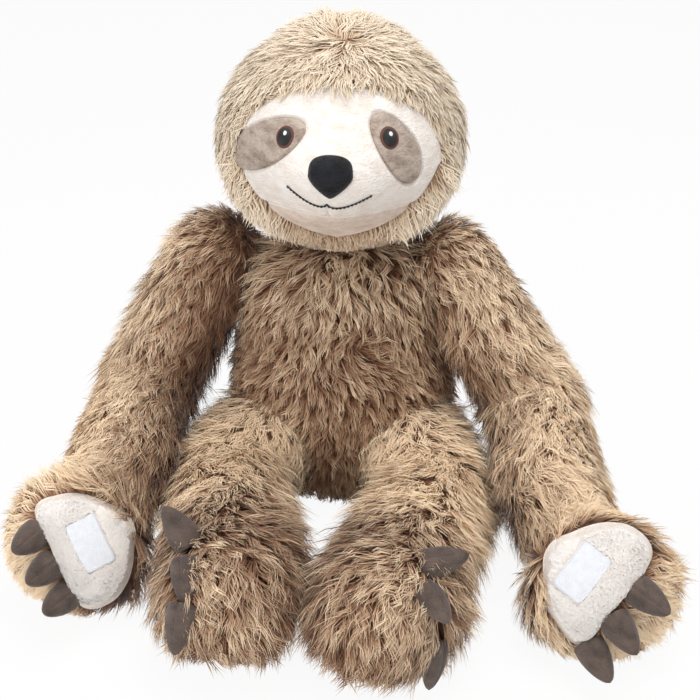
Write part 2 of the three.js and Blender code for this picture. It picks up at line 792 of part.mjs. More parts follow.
// The smile's thread: a thin tube that lies on the plush, and runs out into it at its ends.
function smileForm() {
  const [steps, sides, radius] = [8, 5, smileThread / 2];
  const centreAt = (share) => {
    const corner = smileCornerAngles[share < 0 ? 0 : 1];
    const cheek = Math.abs(share);
    const across = smilePeakAngles[0] + (corner[0] - smilePeakAngles[0]) * cheek;
    const line = smilePeakAngles[1] + (corner[1] - smilePeakAngles[1]) * cheek;
    const sag = Math.sin(Math.PI * Math.sqrt(cheek));
    return onFace(across, line - smileSagAngle * sag, radius + seamGap);
  };
  const rings = Array.from({ length: 2 * steps + 1 }, (_, i) => {
    const share = (i - steps) / steps;
    const centre = centreAt(share);
    const along = away(centreAt(share - 1 / steps), centreAt(share + 1 / steps));
    const out = away(headCentre, centre).projectOnPlane(along).normalize();
    const wide = new THREE.Vector3().crossVectors(along, out).normalize();
    return Array.from({ length: sides }, (_, side) => {
      const turn = (2 * Math.PI * side) / sides;
      const reach = radius * (1 - share ** 8 / 2);
      return centre
        .clone()
        .addScaledVector(wide, reach * Math.cos(turn))
        .addScaledVector(out, reach * Math.sin(turn));
    });
  });
  return skinOf(rings, centreAt(-1), centreAt(1));
}

function placeArm(side, frame) {
  const socket = ball(elbowRadius + ballSlack, frame.elbow);
  placeStuffed(`${side.name}_upper_arm`, upperArmForm(side, frame), [socket], null, furCloth);

  const pad = padForm(frame, 0, -padDepth, 0, padCrown);
  const padRoom = padForm(frame, seamGap, -padDepth - seamGap, handHalfThick, 0);
  const mouth = rod(frame.elbow, frame.shoulder, fillingMouth, elbowRadius + coverWall);
  placeStuffed(`${side.name}_forearm`, forearmForm(frame), [padRoom], mouth, furCloth);
  place(`${side.name}_palm_pad`, pad, creamPlush);

  const onPad = (long) => overPalm(frame, long, side.padShift, padCrown);
  const tapeMiddle = onPad(side.tapeShift);
  const slope = away(onPad(side.tapeShift - seamGap), onPad(side.tapeShift + seamGap)).normalize();
  const tapeOut = new THREE.Vector3().crossVectors(slope, frame.knuckles).normalize();
  const tape = new THREE.BoxGeometry(tapeWidth, tapeLength, tapeProud + padDepth / 2);
  tape.translate(0, 0, tapeProud - (tapeProud + padDepth / 2) / 2);
  tape.applyMatrix4(
    new THREE.Matrix4().makeBasis(slope, frame.knuckles, tapeOut).setPosition(tapeMiddle),
  );
  const padRaised = padForm(frame, 0, -padDepth, seamGap, padCrown);
  place(`${side.name}_tape`, solidOf(tape).subtract(padRaised), tapeWhite);

  const hand = handBall(frame, 0, seamGap);
  const back = frame.palmOut.clone().negate();
  side.clawTurnShares.forEach((turnShare, i) => {
    const across = (i - 1) * clawSpacing + side.clawShift;
    const root = overPalm(frame, padFront + clawInset, across, -clawSink);
    const along = frame.fingers
      .clone()
      .addScaledVector(frame.knuckles, turnShare)
      .addScaledVector(frame.palmOut, Math.tan(radians(side.clawLiftAngle)))
      .normalize();
    const claw = clawForm(root, along, back);
    const room = hand.add(padForm(frame, seamGap, -padDepth - seamGap, seamGap, padCrown)).add(floorBlock);
    place(`${side.name}_hand_claw_${i + 1}`, largest(claw.subtract(room)), clawPlush);
  });
}

function placeFootClaws(side, frame) {
  const halves = at(footHalfWidth, footHalfLong, footHalfHeight);
  const body = footForm(frame)(-seamGap);
  side.footClawShares.forEach(([out, forward, up, alongOut, alongForward, alongUp], i) => {
    const spot = at(side.sign * out, -forward, up).normalize();
    const along = at(side.sign * alongOut, -alongForward, alongUp).normalize();
    const root = frame.foot.clone().add(spot.clone().multiply(halves)).addScaledVector(spot, -clawHalfThick);
    const claw = clawForm(root, along, spot).subtract(body).subtract(floorBlock);
    place(`${side.name}_foot_claw_${i + 1}`, largest(claw), clawPlush);
  });
}

function placeLeg(side, frame) {
  const socket = ball(kneeRadius + ballSlack, frame.knee);
  placeStuffed(`${side.name}_thigh`, thighForm(frame), [socket], null, furCloth);
  const mouth = rod(frame.knee, frame.hip, fillingMouth, kneeRadius + coverWall);
  placeStuffed(`${side.name}_foot`, footForm(frame), [], mouth, furCloth);
  placeFootClaws(side, frame);
}

const frames = [leftSide, rightSide].map(limbFrame);
placeTorso(frames);
placeHead();
[leftSide, rightSide].forEach((side, i) => {
  placeArm(side, frames[i]);
  placeLeg(side, frames[i]);
});

export default sloth;
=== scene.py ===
import math
from dataclasses import dataclass

import bmesh
import bpy
import numpy as np
from mathutils import Matrix, Vector


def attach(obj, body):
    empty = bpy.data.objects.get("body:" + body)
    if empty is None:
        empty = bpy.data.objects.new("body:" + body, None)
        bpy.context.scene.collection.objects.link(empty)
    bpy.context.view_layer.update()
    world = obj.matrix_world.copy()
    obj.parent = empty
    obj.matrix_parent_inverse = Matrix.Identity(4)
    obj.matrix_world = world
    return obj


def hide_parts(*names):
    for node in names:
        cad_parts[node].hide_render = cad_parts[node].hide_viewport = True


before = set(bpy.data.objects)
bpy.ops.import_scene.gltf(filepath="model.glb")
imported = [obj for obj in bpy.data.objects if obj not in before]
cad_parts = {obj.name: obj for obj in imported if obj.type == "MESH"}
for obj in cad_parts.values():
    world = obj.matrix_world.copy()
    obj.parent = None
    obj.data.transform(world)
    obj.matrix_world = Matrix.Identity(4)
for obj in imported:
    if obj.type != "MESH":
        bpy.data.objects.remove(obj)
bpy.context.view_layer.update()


# The view. A standing person looks down at a toy on a table, a little from the toy's left
# and well above it, through a short portrait lens. The toy's lengths are in mm, and become
# metres where a mesh is made.
MM = 0.001
view_turn, view_tilt = 5, 31
view_distance = 820
aim_right, aim_up = 5.3355, 89.2587
lens_pixels, picture_pixels, film_width = 1020.998, 700, 36


def unit(v):
    v = np.asarray(v, float)
    return v / np.maximum(np.linalg.norm(v, axis=-1, keepdims=True), 1e-12)


def span(v):
    return np.linalg.norm(v, axis=-1)


def full_turn(count):
    return np.linspace(0, 2 * math.pi, count, endpoint=False)


def facing(turn, tilt):
    """The way out of a front, turned to its left and tilted up by these degrees."""
    a, e = np.radians(turn), np.radians(tilt)
    return np.stack([np.sin(a) * np.cos(e), -np.cos(a) * np.cos(e), np.sin(e)], -1)


def placed(*columns):
    """The matrix of three ways and a place."""
    return Matrix([*np.column_stack(columns).tolist(), (0, 0, 0, 1)])


def new_object(name, data):
    thing = bpy.data.objects.new(name, data)
    bpy.context.scene.collection.objects.link(thing)
    return thing


view_back = facing(view_turn, view_tilt)
view_right = unit(np.cross([0, 0, 1], view_back))
view_up = np.cross(view_back, view_right)
view_place = (aim_right * view_right + aim_up * view_up + view_distance * view_back) * MM

lens = bpy.data.cameras.new("view")
lens.sensor_width = film_width
lens.lens = film_width * lens_pixels / picture_pixels
lens.clip_start = 0.01
camera = new_object("view", lens)
camera.matrix_world = placed(view_right, view_up, view_back, view_place)
bpy.context.scene.camera = camera
bpy.context.scene.view_settings.view_transform = "Standard"


# The table and the light. A pale matt table top runs out of sight under large soft lamps.
# The eye sees the table and the room as white, and the toy's shadow stays on the table. The
# places and sizes of the lamps are in metres.
table_grey, table_glow = 0.88, 0.93
room_light, room_seen = 0.45, 1.0
lamp_target = Vector((0, -0.06, 0.15))


def new_finish(name):
    """An empty material, and its tree of nodes."""
    finish = bpy.data.materials.new(name)
    finish.use_nodes = True
    finish.node_tree.nodes.clear()
    return finish, finish.node_tree


def add_node(tree, kind, inputs=(), **settings):
    """A new node with its settings, and for each input its value, or what feeds it."""
    node = tree.nodes.new(f"ShaderNode{kind}")
    for key, value in settings.items():
        setattr(node, key, value)
    for key, value in dict(inputs).items():
        if isinstance(value, bpy.types.Node):
            value = value.outputs[0]
        if isinstance(value, bpy.types.NodeSocket):
            tree.links.new(value, node.inputs[key])
        else:
            node.inputs[key].default_value = value
    return node


table_paint, tree = new_finish("table_paint")
seen = add_node(tree, "LightPath").outputs["Is Camera Ray"]
share = add_node(tree, "Math", {0: seen, 1: table_glow}, operation="MULTIPLY")
matt = add_node(tree, "BsdfDiffuse", {"Color": (table_grey, table_grey, table_grey, 1)})
glow = add_node(tree, "Emission", {"Color": (1, 1, 1, 1), "Strength": 1.0})
blend = add_node(tree, "MixShader", {0: share, 1: matt, 2: glow})
add_node(tree, "OutputMaterial", {0: blend})

bpy.ops.mesh.primitive_plane_add(size=12, location=(0, 0, -0.2 * MM))
table = bpy.context.object
table.name = "table"
table.data.materials.append(table_paint)

room = bpy.data.worlds.new("room")
bpy.context.scene.world = room
room.use_nodes = True
tree = room.node_tree
tree.nodes.clear()
seen = add_node(tree, "LightPath").outputs["Is Camera Ray"]
dim = add_node(tree, "Background", {"Color": (1, 1, 1, 1), "Strength": room_light})
white = add_node(tree, "Background", {"Color": (1, 1, 1, 1), "Strength": room_seen})
blend = add_node(tree, "MixShader", {0: seen, 1: dim, 2: white})
add_node(tree, "OutputWorld", {0: blend})


def soft_lamp(name, place, size, power):
    data = bpy.data.lights.new(name, "AREA")
    data.size = size
    data.energy = power
    lamp = new_object(name, data)
    lamp.location = place
    towards = lamp_target - Vector(place)
    lamp.rotation_euler = towards.to_track_quat("-Z", "Y").to_euler()


soft_lamp("top_lamp", place=(0.2, -0.2, 1.5), size=1.0, power=14)
soft_lamp("front_lamp", place=(-0.9, -1.4, 0.8), size=1.2, power=13)
soft_lamp("side_lamp", place=(1.4, -0.7, 0.8), size=1.2, power=2)


# The body. It is a stuffed pear of knitted backing with a long pile, brown at the roots and
# beige at the tips, combed down and out to both sides, with a whorl below the neck. The
# filling is fibre, so the seat is pressed flat where it rests.
pile_inset = 9
torso_height, torso_wide, torso_front, torso_back = 206, 86, 68, 62
torso_girth_shares = (
    (0, 0.6, 0.68, 0.66), (0.03, 0.75, 0.8, 0.8), (0.1, 0.89, 0.9, 0.92), (0.22, 0.98, 0.97, 0.99),
    (0.36, 1, 1, 1), (0.5, 0.98, 0.97, 0.97), (0.65, 0.92, 0.86, 0.9), (0.78, 0.84, 0.74, 0.8),
    (0.88, 0.74, 0.64, 0.7), (0.95, 0.57, 0.48, 0.53), (0.99, 0.28, 0.25, 0.27),
)
shoulder_share, shoulder_inset_share = 0.7, 0.4
seat_rise, form_grain, form_softening = 0.6, 3.5, 6
torso_tufts, torso_tuft_fibres = 4300, 9
torso_pile_length, collar_pile_length = 19, 28
chest_parting = 4
whorl_middle, whorl_reach = np.array([11, -58, 142.0]), 20


def new_piece(name, mesh, finish, body, replaced=()):
    """A piece that rides on body, in place of the nodes replaced."""
    mesh.name = name
    piece = new_object(name, mesh)
    mesh.materials.append(finish)
    mesh.shade_smooth()
    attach(piece, body)
    if replaced:
        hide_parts(*replaced)
    return piece


def taken_mesh(bm):
    """The mesh that was built in bm, which is used up."""
    mesh = bpy.data.meshes.new("shape")
    bm.to_mesh(mesh)
    bm.free()
    return mesh


def ring_skin(bm, rings, ends):
    """Skins rings of points, with a point at each end, into bm."""
    rows = [[bm.verts.new(Vector(p) * MM) for p in ring] for ring in rings]
    count = len(rows[0])
    for low, high in zip(rows, rows[1:]):
        for i in range(count):
            j = (i + 1) % count
            bm.faces.new((low[i], low[j], high[j], high[i]))
    for row, end in ((rows[0], ends[0]), (rows[-1], ends[1])):
        tip = bm.verts.new(Vector(end) * MM)
        for i in range(count):
            bm.faces.new((row[i], row[(i + 1) % count], tip))


def add_ball(bm, centre, halves, axes=np.eye(3)):
    """A ball, or an oval one with its halves along axes."""
    ways = [axis * half * MM for axis, half in zip(axes, halves)]
    matrix = placed(*ways, centre * MM)
    bmesh.ops.create_icosphere(bm, subdivisions=4, radius=1, matrix=matrix)


def add_limb(bm, points, radii, sides=24, rows=12):
    """A round limb through points, with a radius at each."""
    points = np.asarray(points)
    at = np.linspace(0, len(points) - 1, rows)
    places = np.stack([np.interp(at, range(len(points)), points[:, k]) for k in range(3)], 1)
    wide = np.interp(at, range(len(radii)), radii)
    along = unit(np.gradient(places, axis=0))
    side = unit(np.cross(along, [0, 0, 1]))
    rise = np.cross(side, along)
    turn = full_turn(sides)
    rings = [
        p + w * (np.outer(np.cos(turn), s) + np.outer(np.sin(turn), r))
        for p, w, s, r in zip(places, wide, side, rise)
    ]
    ring_skin(bm, rings, (places[0], places[-1]))


def vertex_values(mesh, kind):
    """The places or normals of a mesh's vertices, as rows of three."""
    values = np.empty(len(mesh.vertices) * 3)
    mesh.vertices.foreach_get(kind, values)
    return values.reshape(-1, 3)


def stuffed_form(bm):
    """Fuses the closed shapes in bm into one soft form, flat where it meets the table."""
    bmesh.ops.recalc_face_normals(bm, faces=bm.faces)
    holder = new_object("rough", taken_mesh(bm))
    fuse = holder.modifiers.new("fuse", "REMESH")
    fuse.mode = "VOXEL"
    fuse.voxel_size = form_grain * MM
    soften = holder.modifiers.new("soften", "SMOOTH")
    soften.factor = 0.5
    soften.iterations = form_softening
    bpy.context.view_layer.update()
    evaluated = holder.evaluated_get(bpy.context.evaluated_depsgraph_get())
    mesh = bpy.data.meshes.new_from_object(evaluated)
    bpy.data.objects.remove(holder)
    places = vertex_values(mesh, "co")
    places[:, 2] = np.maximum(places[:, 2], seat_rise * MM)
    mesh.vertices.foreach_set("co", places.ravel())
    mesh.update()
    return mesh


def skin_points(mesh, count, seed, keep):
    """Evenly scattered points on a skin, with their normals. keep gives each face's share."""
    rng = np.random.default_rng(seed)
    mesh.calc_loop_triangles()
    triangles = np.empty(len(mesh.loop_triangles) * 3, np.int32)
    mesh.loop_triangles.foreach_get("vertices", triangles)
    triangles = triangles.reshape(-1, 3)
    places, normals = vertex_values(mesh, "co") / MM, vertex_values(mesh, "normal")
    a, b, c = (places[triangles[:, k]] for k in range(3))
    area = span(np.cross(b - a, c - a)) / 2
    area = area * keep((a + b + c) / 3, unit(np.cross(b - a, c - a)))
    steps = (np.arange(count) + rng.random(count)) / count
    pick = np.searchsorted(np.cumsum(area) / area.sum(), steps).clip(0, len(triangles) - 1)
    u, v = rng.random(count), rng.random(count)
    u, v = np.where(u + v > 1, 1 - u, u), np.where(u + v > 1, 1 - v, v)
    weights = np.stack([1 - u - v, u, v], 1)[:, :, None]
    corners = triangles[pick]
    return (places[corners] * weights).sum(1), unit((normals[corners] * weights).sum(1))


def fade(low, high, value):
    """Goes smoothly from 0 at low to 1 at high."""
    t = np.clip((value - low) / (high - low), 0, 1)
    return t * t * (3 - 2 * t)


def ripple(points, length, seed):
    """A smooth value between about -1 and 1 over space, which changes over length."""
    waves = 5
    rng = np.random.default_rng(seed)
    total = np.zeros(len(points))
    for _ in range(waves):
        wave = unit(rng.normal(size=3)) * 2 * math.pi / length * rng.uniform(0.6, 1.4)
        total += np.sin(points @ wave + rng.uniform(0, 2 * math.pi))
    return total / math.sqrt(waves)


def swirl(points, length, seed):
    """A smoothly changing way, to comb a pile unevenly with."""
    return np.stack([ripple(points, length, seed + k) for k in range(3)], 1)


fibre_shares = np.array([0.0, 0.36, 0.72, 1.0])
fibre_taper_shares = np.array([0.9, 1.0, 0.8, 0.0])


class Tufts:
    """The tufts of a pile: where each stands, which way it's combed, and how it curves."""

    def __init__(self, roots, normals, comb, length, rng):
        count = len(roots)
        comb = comb - normals * (comb * normals).sum(1, keepdims=True)
        comb = unit(unit(comb) + 0.13 * rng.normal(size=(count, 3)))
        self.roots, self.normals = roots, normals
        self.comb = unit(comb - normals * (comb * normals).sum(1, keepdims=True))
        self.across = np.cross(normals, self.comb)
        self.length = np.broadcast_to(length, (count,)) * rng.uniform(0.75, 1.15, count)
        self.bend = np.radians(rng.normal(0, 8, count))
        self.curl = rng.normal(0, 0.16, count)
        self.wave = rng.normal(0, 0.09, count)

    def fibre_path(self, own, offset, long, gather, lean, stray):
        """Points along each fibre, which leans over more and more towards its tip."""
        start, end = (math.radians(a) for a in lean)
        path = []
        for t in fibre_shares:
            fine = np.linspace(0, t, 8)
            angle = start + (end - start) * fine + self.bend[own][:, None] * fine
            rise, drift = np.cos(angle).mean(1) * t, np.sin(angle).mean(1) * t
            sway = (self.curl * t * t + self.wave * math.sin(2 * math.pi * t))[own]
            point = self.roots[own] + offset * (1 - gather * t**1.3)
            point = point + long[:, None] * (
                rise[:, None] * self.normals[own] + drift[:, None] * self.comb[own]
                + sway[:, None] * self.across[own]
            )
            path.append(point + (long * t * t)[:, None] * stray)
        return np.stack(path, 1)


def fibre_mesh(path, flat, half, shade):
    """Flat fibres that taper to a point. Their map holds the shade of each fibre across, and
    how far along it a point lies upwards."""
    aside = flat * half[:, :, None]
    pairs = np.stack([path - aside, path + aside], 2)[:, :3].reshape(-1, 6, 3)
    points = np.concatenate([pairs, path[:, 3:]], 1).reshape(-1, 3) * MM
    corners = np.array([0, 1, 3, 2, 2, 3, 5, 4, 4, 5, 6])
    loops = (np.arange(len(path)) * 7)[:, None] + corners[None, :]
    sizes = np.tile([4, 4, 3], len(path))
    strip = 0.006
    u = shade[:, None] * (1 - strip) + strip * np.where(corners == 6, 0.5, corners % 2)
    v = np.broadcast_to(0.01 + 0.98 * fibre_shares[corners // 2], u.shape)

    mesh = bpy.data.meshes.new("fibres")
    mesh.vertices.add(len(points))
    mesh.vertices.foreach_set("co", points.ravel())
    mesh.loops.add(loops.size)
    mesh.loops.foreach_set("vertex_index", loops.ravel().astype(np.int32))
    mesh.polygons.add(len(sizes))
    mesh.polygons.foreach_set("loop_start", np.concatenate([[0], np.cumsum(sizes)[:-1]]))
    mesh.polygons.foreach_set("loop_total", sizes)
    mesh.update(calc_edges=True)
    layer = mesh.uv_layers.new(name="OFBake")
    layer.data.foreach_set("uv", np.stack([u, v], 2).ravel())
    return mesh


def grow_pile(name, body, finish, slot, roots, normals, comb, length, seed, *, per_tuft=11,
              spread=3.4, gather=0.4, lean=(46, 86), width=0.66, wild=0.06, tone=0.0, vary=0.7,
              under=0.12, silky=2.6):
    """Tufts of tapered fibres. Each tuft leans over along comb, by lean in degrees, curves its
    own way and draws together at the tip. Under it stands a share of shorter, darker fibres.
    tone makes a tuft paler, vary says how far tufts differ, and silky how evenly they take
    the light."""
    rng = np.random.default_rng(seed)
    count = len(roots)
    tufts = Tufts(roots, normals, comb, length, rng)
    patchy = 0.1 * ripple(roots, 40, seed + 11) + 0.16 * rng.normal(size=count)
    tone = tone + 0.5 + vary * patchy

    own = np.repeat(np.arange(count), per_tuft)
    n = len(own)
    loose = rng.random(n) < under
    turn = rng.uniform(0, 2 * math.pi, n)
    reach = spread * np.sqrt(rng.random(n)) * (1 + 0.5 * loose)
    offset = reach[:, None] * (
        np.cos(turn)[:, None] * tufts.comb[own] + np.sin(turn)[:, None] * tufts.across[own]
    )
    shade = np.clip(tone[own] - 0.2 * loose + 0.07 * vary * rng.normal(size=n), 0.01, 0.985)
    long = tufts.length[own] * rng.uniform(0.8, 1.06, n) * (1 - 0.3 * loose)
    stray = rng.normal(0, 1, (n, 3)) * np.where(loose, 0.14, wild)[:, None]
    twist = rng.normal(0, 0.4, n)
    drawn = np.where(loose, 0.1, gather)[:, None]
    path = tufts.fibre_path(own, offset, long, drawn, lean, stray)
    lift = 0.35 + 0.5 * rng.random(n)
    path[:, :, 2] = np.maximum(path[:, :, 2], lift[:, None])

    along, out = unit(np.gradient(path, axis=1)), normals[own][:, None, :]
    flat = unit(np.cross(along, out))
    stand = np.cross(flat, along)
    flat = np.cos(twist)[:, None, None] * flat + np.sin(twist)[:, None, None] * stand
    half = (width / 2) * rng.uniform(0.8, 1.2, n)[:, None] * fibre_taper_shares[None, :]
    piece = new_piece(name, fibre_mesh(path, flat, half, shade), finish, body)
    front = np.cross(flat, along)
    front *= np.sign((front * out).sum(-1, keepdims=True))
    soft = unit(front + silky * out)[:, [0, 0, 1, 1, 2, 2, 3]]
    piece.data.normals_split_custom_set_from_vertices(soft.reshape(-1, 3))


def srgb(*values):
    """A linear colour from the 0 to 255 values that a colour picker shows."""
    shares = np.array(values) / 255
    return tuple(np.where(shares <= 0.04045, shares / 12.92, ((shares + 0.055) / 1.055) ** 2.4))


def add_ramp(tree, fed, *stops):
    """Colours that change from stop to stop. Each stop is a position and a colour."""
    node = add_node(tree, "ValToRGB", {0: fed})
    steps = node.color_ramp.elements
    for position, _ in stops[1:-1]:
        steps.new(position)
    for step, (position, colour) in zip(steps, stops):
        step.position = position
        step.color = (*colour, 1)
    return node


def add_surface(tree, **inputs):
    """The surface with these inputs, named with _ for each space."""
    inputs = {key.replace("_", " "): value for key, value in inputs.items()}
    add_node(tree, "OutputMaterial", {0: add_node(tree, "BsdfPrincipled", inputs)})


def pile_finish(name, roots, middle, tips, dark=0.74, light=1.12):
    """Fibres that go from roots to tips in colour. A pale one turns pale nearer its root."""
    finish, tree = new_finish(name)
    place = add_node(tree, "UVMap", uv_map="OFBake")
    shade, along = add_node(tree, "SeparateXYZ", {0: place}).outputs[:2]
    early = add_node(tree, "Math", {0: shade, 1: 0.84, 2: along}, operation="MULTIPLY_ADD")
    early = add_node(tree, "Math", {0: early, 1: 0.42}, operation="SUBTRACT")
    colours = add_ramp(tree, early, (0, roots), (0.3, roots), (0.62, middle), (0.9, tips), (1, tips))
    colours.color_ramp.interpolation = "B_SPLINE"
    shades = add_ramp(tree, shade, (0, [dark] * 3), (1, [light] * 3))
    both = add_node(tree, "Mix", {0: 1, 6: colours, 7: shades}, data_type="RGBA",
                    blend_type="MULTIPLY")
    add_surface(tree, Base_Color=both.outputs[2], Roughness=0.72, Specular_IOR_Level=0.25,
                Sheen_Weight=0.25, Sheen_Roughness=0.5)
    return finish


def new_cloth(name):
    """An empty material, its tree, and the place on the cloth."""
    finish, tree = new_finish(name)
    return finish, tree, add_node(tree, "TexCoord").outputs["Object"]


def backing_finish(name, colour):
    """Knitted backing under the pile: dark, with the fine ribs of the knit."""
    finish, tree, place = new_cloth(name)
    knit = add_node(tree, "TexVoronoi", {"Vector": place, "Scale": 900})
    bump = add_node(tree, "Bump", {"Height": knit, "Strength": 0.4, "Distance": 0.0004})
    cloudy = add_node(tree, "TexNoise", {"Vector": place, "Scale": 60, "Detail": 4})
    dark, pale = ([share * c for c in colour] for share in (0.75, 1.2))
    tones = add_node(tree, "Mix", {0: cloudy, 6: (*dark, 1), 7: (*pale, 1)}, data_type="RGBA")
    add_surface(tree, Base_Color=tones.outputs[2], Normal=bump, Roughness=0.95)
    return finish


brown_backing = backing_finish("brown_backing", srgb(150, 112, 86))
brown_pile = pile_finish("brown_pile", srgb(138, 95, 69), srgb(196, 157, 124), srgb(241, 218, 186))

bm = bmesh.new()
turn = full_turn(40)
rings = []
for up, wide, front, back in torso_girth_shares:
    inset = pile_inset * (shoulder_inset_share if up > shoulder_share else 1)
    depth = np.where(np.sin(turn) < 0, torso_front * front, torso_back * back) - inset
    x = np.cos(turn) * (torso_wide * wide - inset)
    z = np.full_like(turn, max(up * torso_height - pile_inset * (up > 0.5), seat_rise))
    rings.append(np.stack([x, np.sin(turn) * depth, z], 1))
ring_skin(bm, rings, ((0, 0, seat_rise), (0, 0, torso_height - pile_inset)))
torso_skin = stuffed_form(bm)
new_piece("torso_skin", torso_skin, brown_backing, "torso",
          ("torso_cover", "torso_filling", "neck_filling"))


def off_the_seat(spots, normals):
    return (normals[:, 2] > -0.75) * (spots[:, 2] > 1.0)


spots, normals = skin_points(torso_skin, torso_tufts, 101, off_the_seat)
height = spots[:, 2]
comb = np.array([0, 0, -1.0]) + 0.3 * swirl(spots, 60, 5)
comb[:, 0] += 0.45 * np.tanh((spots[:, 0] - chest_parting) / 30) * fade(40, 110, height)
whorl = spots - whorl_middle
near = np.exp(-((span(whorl) / whorl_reach) ** 2))[:, None]
comb += 2.4 * near * unit(np.cross([0, -1.0, 0], whorl))
collar = fade(150, 188, height)
pile_length = torso_pile_length + (collar_pile_length - torso_pile_length) * collar
# The pile is paler towards the collar, and painted darker low on the belly and at the sides, as
# painted shade where the arms and legs meet the body.
tone = 0.13 * (1.8 * collar - fade(110, 40, height) - np.abs(normals[:, 0])) - 0.12
grow_pile("torso_pile", "torso", brown_pile, "brown_fur", spots, normals, comb, pile_length, 102,
          tone=tone, per_tuft=torso_tuft_fibres, width=0.72, gather=0.6, spread=2.8, lean=(32, 84))


# The head. It is a stuffed ball in a hood of the same cloth, with a shorter, paler pile that
# runs from a small parting on the crown, round the face and down the back. The hood is sewn
# round the face panel and stands a little proud of it.
head_centre, head_halves = np.array([0, -8, 271.0]), np.array([86, 80, 80.0])
head_turn, head_tilt = 3, -5
face_middle, face_span = np.array([0, -3.0]), np.array([61, 45.0])
cheek_notch_share = 0.14
hood_inset, face_inset = 8, 13
crown_fill, crown_way = 4.5, [0, 0.51, 0.86]
hood_tufts, hood_tuft_fibres = 4100, 9
hood_pile_length, jaw_shorter, brow_shorter = 18, 11, 7
parting = unit(np.array([0.03, -0.25, 0.97]))


def turned(axis, degrees):
    return np.array(Matrix.Rotation(math.radians(degrees), 3, axis))


head_square = turned("Z", head_turn) @ turned("X", head_tilt)


def face_angles(points):
    """How far across and up a point lies, in degrees seen from the middle of the head."""
    ways = unit(points - head_centre) @ head_square
    return np.degrees(np.arctan2(ways[:, 0], -ways[:, 1])), np.degrees(np.arcsin(ways[:, 2]))


def head_reach(ways):
    return 1 / span(ways / head_halves)


def face_edge(turn):
    """How far out the face's edge lies: an oval that is pinched in below each cheek."""
    pinch = np.sqrt(2 * np.maximum(0, -np.sin(turn)) * np.abs(np.cos(turn)))
    return 1 - cheek_notch_share * pinch


def face_share(across, up):
    """0 in the middle of the face and 1 at its edge."""
    x, y = (across - face_middle[0]) / face_span[0], (up - face_middle[1]) / face_span[1]
    return np.hypot(x, y) / face_edge(np.arctan2(y, x))


bm = bmesh.new()
bmesh.ops.create_icosphere(bm, subdivisions=5, radius=1)
for vert in bm.verts:
    way = unit(np.array(vert.co))[None]
    across, up = face_angles(head_centre + way)
    inset = hood_inset + face_inset * (1 - fade(0.94, 1.03, face_share(across, up)))
    inset = inset - crown_fill * fade(0.75, 0.97, way @ crown_way)
    vert.co = Vector((head_centre + way[0] * (head_reach(way)[0] - inset[0])) * MM)
hood_skin = taken_mesh(bm)
hood_backing = backing_finish("hood_backing", srgb(150, 120, 94))
new_piece("hood_skin", hood_skin, hood_backing, "head",
          ("head_cover", "head_filling"))

hood_pile = pile_finish("hood_pile", srgb(200, 171, 141), srgb(224, 203, 176), srgb(238, 223, 201),
                        dark=0.92, light=1.04)


def outside_face(spots, normals):
    across, up = face_angles(spots)
    return (face_share(across, up) > 1.0) * (spots[:, 2] > 205)


spots, normals = skin_points(hood_skin, hood_tufts, 201, outside_face)
comb = unit(spots - head_centre) - parting
comb += 0.9 * np.array([0, 0, -1]) * fade(0.3, 1.4, span(comb))[:, None]
comb = unit(comb) + 0.14 * swirl(spots, 60, 21)
across, up = face_angles(spots)
jaw = fade(-28, -42, up) * fade(75, 50, np.abs(across))
brow = fade(1.35, 1.05, face_share(across, up)) * fade(0, 25, up)
brow *= fade(8, 26, np.abs(across + 2))
pile_length = hood_pile_length - jaw_shorter * jaw - brow_shorter * brow
# The pile is painted darker at the jaw, as painted shade under the chin.
grow_pile("head_pile", "head", hood_pile, "hood_fur", spots, normals, comb, pile_length, 202,
          per_tuft=hood_tuft_fibres, spread=4.4, gather=0.1, lean=(68, 92), width=0.76, wild=0.03,
          tone=0.2 - 0.5 * jaw, vary=0.3, under=0.0, silky=5.0)


# The face. Short cream plush in two pieces, sewn together below the mouth, covers a padded
# muzzle; the lower piece is the same plush painted darker, as painted shade under the muzzle.
# The grey patches round the eyes are let into it, and each seam draws the plush in.
plush_depth, muzzle_proud = 10, 20
muzzle_up, muzzle_span = -6, (27, 21)
panel_overlap, panel_edge_fall, patch_hollow = 1.03, 2.2, 1.9
chin_drop, chin_seam_wide, chin_seam_deep = -29, 2.2, 2.0
lip_across, lip_seam_wide, lip_seam_deep = -3, 1.1, 1.3


def plush_finish(name, colour, shade, *, sheen, roughness=0.9, tuft=300.0, depth=0.0016):
    """Short dense plush: fine level tufts that catch the light, in two close shades."""
    finish, tree, place = new_cloth(name)
    level = add_node(tree, "Mapping", {"Vector": place, "Scale": (1, 1, 2.1)})
    tufts = add_node(tree, "TexNoise", {
        "Vector": level, "Scale": tuft, "Detail": 3, "Roughness": 0.65,
    })
    brushed = add_node(tree, "TexNoise", {"Vector": level, "Scale": 85, "Detail": 3})
    height = add_node(tree, "Math", {0: brushed, 1: 0.55, 2: tufts}, operation="MULTIPLY_ADD")
    bump = add_node(tree, "Bump", {"Height": height, "Strength": 0.85, "Distance": depth})
    mixed = add_node(tree, "Math", {0: tufts, 1: 0.6, 2: brushed}, operation="MULTIPLY_ADD")
    tones = add_ramp(tree, mixed, (0.55, shade), (0.95, colour))
    add_surface(tree, Base_Color=tones, Normal=bump, Roughness=roughness, Specular_IOR_Level=0.15,
                Sheen_Weight=sheen, Sheen_Roughness=0.4)
    return finish


cream_plush = plush_finish("cream_plush", srgb(247, 241, 235), srgb(234, 221, 210), sheen=0.15,
                           tuft=380.0, depth=0.0018)
grey_plush = plush_finish("grey_plush", srgb(194, 178, 165), srgb(140, 121, 108), sheen=0.2,
                          tuft=420.0, depth=0.0018)
# The chin's plush is the cream plush painted darker, as painted shade under the muzzle.
chin_plush_painted_shade = plush_finish("chin_plush_painted_shade", srgb(226, 210, 197), srgb(206, 186, 172), sheen=0.15)


